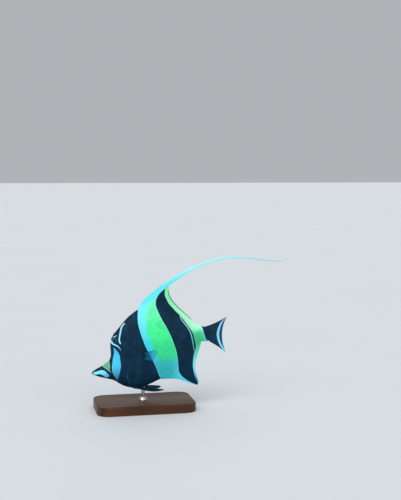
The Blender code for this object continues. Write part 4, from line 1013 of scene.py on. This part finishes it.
def marked_colour(g):
    """The fish's colours from the depths of its markings. It gives the colour and how pale each place is."""
    place = g.vector("place")
    x, _, z = g.split(place)
    blotch = g.noise(place, 0.11, 3.0)
    wobble = g.math("MULTIPLY", g.math("SUBTRACT", g.noise(place, 0.9, 3.0), 0.5), 0.7)

    def inside(name, soft=0.3, bias=0.0):
        return g.spread(g.math("ADD", g.number(name), wobble), bias - soft, bias + soft)

    colour = g.mix(g.spread(blotch, 0.3, 0.7), BLACK, BLACK_BLUE)
    white = g.mix(g.spread(z, 66.0, 24.0), WHITE_TOP, WHITE_LOW)
    yellow = g.mix(g.spread(z, 76.0, 46.0), YELLOW_TOP, YELLOW_MIDDLE)
    yellow = g.mix(g.spread(z, 36.0, 14.0), yellow, YELLOW_LOW)
    yellow = g.mix(g.spread(g.noise(place, 0.12, 2.0), 0.56, 0.38, 0.0, 0.35), yellow, YELLOW_DEEP)
    warm_edge = g.math("ADD", g.number("warm"), g.math("MULTIPLY", g.math("SUBTRACT", blotch, 0.5), 6.0))
    band = g.mix(g.spread(warm_edge, -2.8, 3.6), white, yellow)
    low = g.mix(g.spread(x, 104.0, 119.0), TEAL, TEAL_BLUE)
    # Painted light: paler skin along the anal fin's root crease, lifting the shade that falls there
    low = g.mix(g.spread(g.number("fold_painted_light"), 3.2, 0.4, 0.0, 0.5), low, FOLD_PAINTED_LIGHT)
    height = g.math("ADD", z, g.math("MULTIPLY", x, LEVEL_SLOPE))
    band = g.mix(g.spread(height, 25.5, 4.0), band, low)
    rim = g.math("MULTIPLY", g.spread(g.number("rim"), 1.7, 0.5), g.spread(z, 84.0, 76.0))
    band = g.mix(g.math("MULTIPLY", rim, g.spread(z, -8.0, 22.0, 0.2, 0.6)), band, RIM)
    front_rim = g.math("MULTIPLY", g.spread(g.number("front_rim"), 2.6, 0.8), g.spread(z, 12.0, 2.0))
    band = g.mix(g.math("MULTIPLY", front_rim, 0.45), band, TEAL_BLUE)
    band_mask = inside("band")
    colour = g.mix(band_mask, colour, band)
    rear = g.mix(g.spread(g.number("rear"), 1.5, 6.5), REAR_MIDDLE, REAR_EDGE)
    rear = g.mix(g.spread(z, 84.0, 50.0), REAR_TOP, rear)
    near_end = g.number("stalk_end")
    rear = g.mix(g.math("MULTIPLY", g.spread(near_end, 11.0, 3.0), g.spread(z, 29.0, 32.0)), rear, REAR_PALE)
    stalk = g.mix(g.spread(z, 33.0, 24.0), STALK_TOP, STALK)
    rear = g.mix(g.spread(z, 36.5, 28.0), rear, stalk)
    rear = g.mix(g.spread(z, 14.0, 0.0), rear, ANAL_MIDDLE)
    rear = g.mix(g.spread(z, 0.0, -14.0), rear, g.mix(g.spread(z, -18.0, -38.0), ANAL_LOW, ANAL_TIP))
    rear_end = g.mix(g.spread(z, 32.0, 26.0), REAR_PALE, STALK_PALE)
    rear = g.mix(g.math("MULTIPLY", g.spread(near_end, 3.6, 1.0), 0.75), rear, rear_end)
    rear_mask = inside("rear", 0.28)
    colour = g.mix(rear_mask, colour, rear)
    face_mask = g.math("MULTIPLY", inside("face", 0.5, 0.3), g.spread(z, -19.0, -6.0))
    face = g.mix(g.spread(z, 27.0, 17.0), FACE_TOP, FACE_MIDDLE)
    face = g.mix(g.math("MULTIPLY", g.spread(x, 28.6, 26.4), g.spread(z, 14.0, 6.0)), face, FACE_BRIGHT)
    colour = g.mix(face_mask, colour, g.mix(g.spread(z, 9.0, -10.0), face, FACE_LOW))
    saddle_mask = inside("saddle", 0.4, 0.4)
    saddle_pale = g.math("MAXIMUM", g.spread(x, 17.5, 14.5), g.spread(z, 1.0, -2.5))
    saddle = g.mix(g.spread(g.number("saddle"), 2.6, 0.8, 0.0, 0.5), SADDLE_YELLOW, SADDLE_PALE)
    colour = g.mix(saddle_mask, colour, g.mix(saddle_pale, saddle, SADDLE_PALE))
    snout_mask = inside("snout", 0.35, 0.15)
    snout_low = g.math("MAXIMUM", g.spread(x, 13.0, 20.0), g.spread(z, -1.5, -6.0))
    colour = g.mix(snout_mask, colour, g.mix(snout_low, SNOUT_WHITE, SNOUT_LOW))
    # White lines of nape and cheek, together with the painted highlight by the brow horn
    line_and_highlight_mask = g.spread(g.number("white_lines_and_horn_highlight"), -0.25, 0.3)
    colour = g.mix(line_and_highlight_mask, colour, LINE_WHITE_AND_HIGHLIGHT)
    # The thin pale line of the flank, and with it a painted highlight: a pale streak low on the belly by the gill
    # opening
    thin_line_and_highlight_mask = g.math("MULTIPLY", g.spread(g.number("thin_line_and_gill_highlight"), -0.2, 0.3), g.spread(z, 6.0, 34.0, 0.6, 0.9))
    colour = g.mix(thin_line_and_highlight_mask, colour, THIN_LINE_AND_HIGHLIGHT_COLOUR)
    pale = band_mask
    for mask in (rear_mask, face_mask, saddle_mask, snout_mask, line_and_highlight_mask, thin_line_and_highlight_mask):
        pale = g.math("MAXIMUM", pale, mask)
    speckle = g.math("ADD", 0.93, g.math("MULTIPLY", g.noise(place, 0.45, 4.0), 0.14))
    shade = g.node("ShaderNodeCombineColor")
    for socket in shade.inputs:
        g.feed(socket, speckle)
    return g.mix(1.0, colour, shade.outputs[0], "MULTIPLY"), pale, place


def skin_material():
    g = Graph("moorish_skin")
    colour, pale, place = marked_colour(g)
    tint, edge = g.number("scale_tint"), g.number("scale_edge")
    lighter = g.mix(g.math("MULTIPLY", pale, 0.16), colour, rgb(205, 250, 245))
    colour = g.mix(g.spread(tint, 0.2, 1.0, 0.0, 0.5), colour, lighter)
    edge_tone = g.mix(pale, rgb(120, 190, 200), rgb(10, 84, 88))
    colour = g.mix(g.math("MULTIPLY", g.spread(edge, 0.75, 1.0), 0.12), colour, edge_tone)
    fine = g.noise(place, 3.2, 4.0)
    g.set(Base_Color=colour, Roughness=g.spread(fine, 0.3, 0.7, 0.34, 0.52), Normal=g.bump(fine, 0.25, 0.05))
    g.set(Specular_IOR_Level=SHEEN, Subsurface_Weight=0.04)
    g.shader.inputs["Subsurface Radius"].default_value = (0.002, 0.002, 0.001)
    g.shader.inputs["Subsurface Scale"].default_value = 0.5
    return g.material


def ray_bump(g, ray, mm):
    """Raised soft rays with fine joints across them."""
    joints = g.math("SINE", g.math("MULTIPLY", mm, 2.0 * math.pi / 0.9))
    joints = g.math("MULTIPLY", joints, g.math("MULTIPLY", ray, 0.35))
    return g.bump(g.math("ADD", ray, joints), 0.3, 0.1)


def fin_material():
    g = Graph("moorish_fin")
    colour, pale, place = marked_colour(g)
    ray, mm = g.number("ray"), g.number("ray_mm")
    web = g.mix(g.spread(mm, 2.0, 12.0, 0.0, 0.14), colour, rgb(8, 40, 56))
    colour = g.mix(g.spread(ray, 0.1, 0.75, 0.3, 1.0), web, colour)
    _, _, z = g.split(place)
    hem = g.math("MULTIPLY", g.spread(g.number("margin"), -0.25, 0.15), g.spread(z, 42.0, 50.0))
    hem = g.math("MULTIPLY", hem, g.spread(z, 94.0, 88.0))
    colour = g.mix(g.math("MULTIPLY", hem, 0.85), colour, HEM)
    g.set(Base_Color=colour, Roughness=g.spread(g.noise(place, 2.0, 3.0), 0.3, 0.7, 0.34, 0.5))
    g.set(Normal=ray_bump(g, ray, mm), Specular_IOR_Level=SHEEN, Subsurface_Weight=0.06)
    g.shader.inputs["Subsurface Radius"].default_value = (0.001, 0.002, 0.002)
    g.shader.inputs["Subsurface Scale"].default_value = 0.4
    return g.material


def tail_material():
    g = Graph("moorish_tail")
    place = g.vector("place")
    ray, mm, out = g.number("ray"), g.number("ray_mm"), g.number("out")
    wobble = g.math("MULTIPLY", g.math("SUBTRACT", g.noise(place, 0.9, 2.0), 0.5), 0.6)
    colour = g.mix(g.spread(g.noise(place, 0.15, 3.0), 0.3, 0.7), BLACK, BLACK_BLUE)
    streak = g.math("MULTIPLY", g.spread(ray, 0.2, 0.9), g.spread(out, 0.1, 0.4, 0.0, 0.08))
    colour = g.mix(streak, colour, rgb(120, 190, 200))
    scute = g.math("MULTIPLY", g.spread(g.number("down"), 0.9, 0.96), g.spread(out, 0.26, 0.06))
    colour = g.mix(g.math("MULTIPLY", scute, 0.6), colour, rgb(150, 214, 222))
    crescent = g.spread(g.math("ADD", g.number("crescent"), wobble), -0.35, 0.45)
    pale = g.mix(g.spread(ray, 0.1, 0.9, 0.2, 0.0), CRESCENT, rgb(90, 180, 220))
    colour = g.mix(crescent, colour, g.mix(g.spread(g.number("behind"), 2.2, 4.2), pale, CRESCENT_LOW))
    fringe = g.math("MULTIPLY", g.spread(g.number("fringe"), -0.4, 0.6), g.math("SUBTRACT", 1.0, crescent))
    colour = g.mix(fringe, colour, FRINGE)
    clear = g.math("MULTIPLY", fringe, g.spread(ray, 0.7, 0.1, 0.0, 0.14))
    g.set(Base_Color=colour, Roughness=g.spread(ray, 0.0, 1.0, 0.5, 0.38), Normal=ray_bump(g, ray, mm))
    g.set(Alpha=g.math("SUBTRACT", 1.0, clear), Specular_IOR_Level=SHEEN)
    return g.material


def pectoral_material():
    g = Graph("moorish_pectoral")
    place = g.vector("place")
    ray, mm, out = g.number("ray"), g.number("ray_mm"), g.number("out")
    film = g.mix(g.spread(g.noise(place, 0.5, 3.0), 0.3, 0.7), rgb(10, 96, 144), rgb(20, 122, 170))
    bone = g.mix(g.spread(out, 0.1, 0.9), rgb(16, 78, 112), rgb(46, 156, 190))
    colour = g.mix(g.spread(ray, 0.2, 0.8), film, bone)
    _, _, z = g.split(place)
    dark = g.math("MAXIMUM", g.spread(out, 0.34, 0.06), g.spread(z, 9.0, 3.0))
    colour = g.mix(g.math("MULTIPLY", dark, 0.85), colour, BLACK_BLUE)
    bare = g.math("MAXIMUM", g.spread(out, 0.4, 0.9, 0.28, 0.64), g.spread(out, 0.42, 0.2, 0.28, 0.5))
    bare = g.math("ADD", bare, g.spread(ray, 0.7, 0.15, 0.0, 0.3))
    see = g.math("MULTIPLY", bare, g.spread(out, 0.0, 0.1))
    g.set(Base_Color=colour, Alpha=g.math("SUBTRACT", 1.0, see), Normal=ray_bump(g, ray, mm))
    g.set(Roughness=g.spread(ray, 0.0, 1.0, 0.3, 0.45), Specular_IOR_Level=SHEEN)
    return g.material


def pelvic_material():
    g = Graph("moorish_pelvic")
    place = g.vector("place")
    ray, mm, out = g.number("ray"), g.number("ray_mm"), g.number("out")
    colour = g.mix(g.spread(g.noise(place, 0.2, 3.0), 0.3, 0.7), BLACK, BLACK_BLUE)
    colour = g.mix(g.math("MULTIPLY", g.spread(ray, 0.3, 0.9), 0.12), colour, rgb(90, 150, 175))
    colour = g.mix(g.spread(out, 0.85, 1.0, 0.0, 0.25), colour, rgb(60, 110, 140))
    g.set(Base_Color=colour, Roughness=g.spread(ray, 0.0, 1.0, 0.5, 0.36), Normal=ray_bump(g, ray, mm))
    g.set(Specular_IOR_Level=SHEEN)
    return g.material


def streamer_material():
    g = Graph("moorish_streamer")
    place = g.vector("place")
    length, rise = g.number("out"), g.number("ray")
    grain = g.noise(g.scaled(place, (0.25, 1.0, 1.4)), 1.0, 4.0)
    colour = g.mix(g.spread(length, 0.0, 0.22), STREAMER_ROOT, STREAMER_NEAR)
    colour = g.mix(g.spread(length, 0.5, 0.9), colour, STREAMER_FAR)
    colour = g.mix(g.spread(grain, 0.35, 0.7, 0.0, 0.2), colour, rgb(120, 230, 240))
    colour = g.mix(g.spread(rise, 0.1, 0.7, 0.16, 0.0), colour, rgb(96, 200, 216))
    g.set(Base_Color=colour, Roughness=g.spread(grain, 0.3, 0.7, 0.4, 0.55), Normal=g.bump(grain, 0.3, 0.08))
    g.set(Specular_IOR_Level=SHEEN, Subsurface_Weight=0.08)
    g.shader.inputs["Subsurface Radius"].default_value = (0.001, 0.002, 0.002)
    g.shader.inputs["Subsurface Scale"].default_value = 0.4
    return g.material


def eye_material():
    g = Graph("moorish_eye")
    radius, spoke = g.number("eye_radius"), g.vector("spoke")
    fibres = g.noise(g.scaled(spoke, (9.0, 9.0, 1.6)), 1.0, 4.0)
    iris = g.mix(g.spread(fibres, 0.35, 0.65), rgb(4, 60, 88), rgb(12, 96, 126))
    iris = g.mix(g.spread(radius, 0.72, 0.9), iris, rgb(4, 50, 74))
    ring = g.math("MULTIPLY", g.spread(radius, 0.44, 0.475), g.spread(radius, 0.54, 0.50))
    iris = g.mix(g.math("MULTIPLY", ring, 0.7), iris, rgb(60, 150, 176))
    colour = g.mix(g.spread(radius, 0.445, 0.43), iris, rgb(2, 22, 36))
    g.set(Base_Color=colour, Roughness=g.spread(fibres, 0.3, 0.7, 0.12, 0.2), Normal=g.bump(fibres, 0.1, 0.05))
    g.set(Coat_Weight=0.05, Coat_Roughness=0.03, Specular_IOR_Level=0.1)
    return g.material


def wood_material():
    """Dark varnished wood, its grain along X."""
    g = Graph("stand_walnut")
    where = g.node("ShaderNodeTexCoord").outputs["Object"]
    bent = g.noise(g.scaled(where, (6.0, 26.0, 26.0)), 1.0, 3.0)
    lines = g.node("ShaderNodeTexWave", wave_type="BANDS", bands_direction="Y")
    g.feed(lines.inputs["Vector"], g.scaled(where, (3.0, 26.0, 16.0)))
    g.feed(lines.inputs["Scale"], 1.6)
    g.feed(lines.inputs["Distortion"], 9.0)
    g.feed(lines.inputs["Detail"], 5.0)
    pores = g.noise(g.scaled(where, (60.0, 1400.0, 1400.0)), 1.0, 2.0)
    colour = g.mix(lines.outputs["Fac"], rgb(62, 39, 26), rgb(90, 58, 38))
    colour = g.mix(g.spread(bent, 0.3, 0.7, 0.0, 0.8), colour, rgb(78, 49, 32))
    colour = g.mix(g.spread(pores, 0.60, 0.72, 0.0, 0.55), colour, rgb(36, 22, 15))
    g.set(Base_Color=colour, Roughness=g.spread(bent, 0.3, 0.7, 0.34, 0.46), Normal=g.bump(pores, 0.12, 0.1))
    g.set(Coat_Weight=0.03, Coat_Roughness=0.2, Specular_IOR_Level=0.12)
    return g.material


def steel_material():
    """Brushed steel, its fine lines round the rod."""
    g = Graph("stand_brushed_steel")
    where = g.node("ShaderNodeTexCoord").outputs["Object"]
    lines = g.noise(g.scaled(where, (60.0, 60.0, 5200.0)), 1.0, 3.0)
    smear = g.noise(where, 90.0, 3.0)
    g.set(Base_Color=g.mix(lines, rgb(150, 152, 155), rgb(200, 202, 204)), Metallic=1.0)
    g.set(Roughness=g.spread(smear, 0.3, 0.7, 0.22, 0.36), Normal=g.bump(lines, 0.12, 0.02))
    return g.material


def floor_material():
    g = Graph("studio_floor")
    where = g.node("ShaderNodeTexCoord").outputs["Object"]
    cloud = g.noise(where, 3.0, 3.0)
    g.set(Base_Color=g.mix(cloud, rgb(214, 218, 221), rgb(220, 223, 226)), Roughness=0.75, Specular_IOR_Level=0.2)
    return g.material


# Stand, floor, lights and camera
def finish_stand():
    for node, material in (("stand_base", wood_material()), ("stand_rod", steel_material())):
        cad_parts[node].data.materials.clear()
        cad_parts[node].data.materials.append(material)
    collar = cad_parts["stand_collar"]
    collar.data.materials.clear()
    collar.data.materials.append(bpy.data.materials["stand_brushed_steel"])


def make_floor():
    size = 30.0
    mesh = bpy.data.meshes.new("floor")
    mesh.from_pydata([(-size, -size, 0.0), (size, -size, 0.0), (size, size, 0.0), (-size, size, 0.0)], [], [(0, 1, 2, 3)])
    floor = bpy.data.objects.new("floor", mesh)
    mesh.materials.append(floor_material())
    bpy.context.scene.collection.objects.link(floor)


def sun_light(name, azimuth_deg, elevation_deg, power, softness_deg, colour):
    lamp = bpy.data.lights.new(name, "SUN")
    lamp.energy, lamp.angle, lamp.color = power, math.radians(softness_deg), colour
    a, e = math.radians(azimuth_deg), math.radians(elevation_deg)
    back = Vector((math.sin(a) * math.cos(e), -math.cos(a) * math.cos(e), math.sin(e)))
    holder = bpy.data.objects.new(name, lamp)
    holder.rotation_euler = (-back).to_track_quat("-Z", "Y").to_euler()
    bpy.context.scene.collection.objects.link(holder)


def light_studio():
    """A soft key from the upper left, fills from the right and behind, and a pale room."""
    white = (1.0, 1.0, 1.0)
    sun_light("key", -40.0, 44.0, 1.5, 50.0, white)
    sun_light("fill", 26.0, 10.0, 0.85, 80.0, white)
    sun_light("back", 165.0, 50.0, 0.6, 60.0, white)
    world = bpy.data.worlds.new("studio")
    world.use_nodes = True
    backdrop = world.node_tree.nodes["Background"]
    backdrop.inputs["Color"].default_value = (0.70, 0.735, 0.77, 1.0)
    backdrop.inputs["Strength"].default_value = 0.62
    bpy.context.scene.world = world
    bpy.context.scene.view_settings.view_transform = "Standard"


CAMERA_AZIMUTH, CAMERA_ELEVATION = math.radians(-12.0), math.radians(4.5)
CAMERA_DISTANCE, PIXEL = 1.3, 0.00133
PHOTO_WIDTH, PHOTO_HEIGHT = 401.0, 500.0
SNOUT_PIXEL = (92.4, 373.0)


def place_camera():
    """The camera at the photo's angle, with the tip of the snout at its pixel."""
    a, e = CAMERA_AZIMUTH, CAMERA_ELEVATION
    back = Vector((math.sin(a) * math.cos(e), -math.cos(a) * math.cos(e), math.sin(e)))
    right = Vector((math.cos(a), math.sin(a), 0.0))
    up = back.cross(right)
    aim = Vector(FISH_ORIGIN * MM) + right * (PHOTO_WIDTH / 2.0 - SNOUT_PIXEL[0]) * PIXEL
    aim += up * (SNOUT_PIXEL[1] - PHOTO_HEIGHT / 2.0) * PIXEL
    camera = bpy.data.cameras.new("camera")
    camera.sensor_fit = "HORIZONTAL"
    camera.angle = 2.0 * math.atan(PHOTO_WIDTH * PIXEL / 2.0 / CAMERA_DISTANCE)
    camera.clip_start, camera.clip_end = 0.05, 100.0
    holder = bpy.data.objects.new("camera", camera)
    turn = Matrix((right, up, back)).transposed().to_4x4()
    holder.matrix_world = Matrix.Translation(aim + back * CAMERA_DISTANCE) @ turn
    bpy.context.scene.collection.objects.link(holder)
    bpy.context.scene.camera = holder


def main():
    place_camera()
    skin = skin_material()
    stations, downs, rings, normals = make_skin(skin)
    make_scales(stations, downs, rings, normals, skin)
    make_fins({"fin": fin_material(), "tail": tail_material(), "pectoral": pectoral_material(),
               "pelvic": pelvic_material()})
    make_streamer(streamer_material())
    eye = eye_material()
    for side, word in ((-1, "left"), (1, "right")):
        make_eye(side, word, eye)
        make_horn(side, word, skin)
    finish_stand()
    make_floor()
    light_studio()


main()
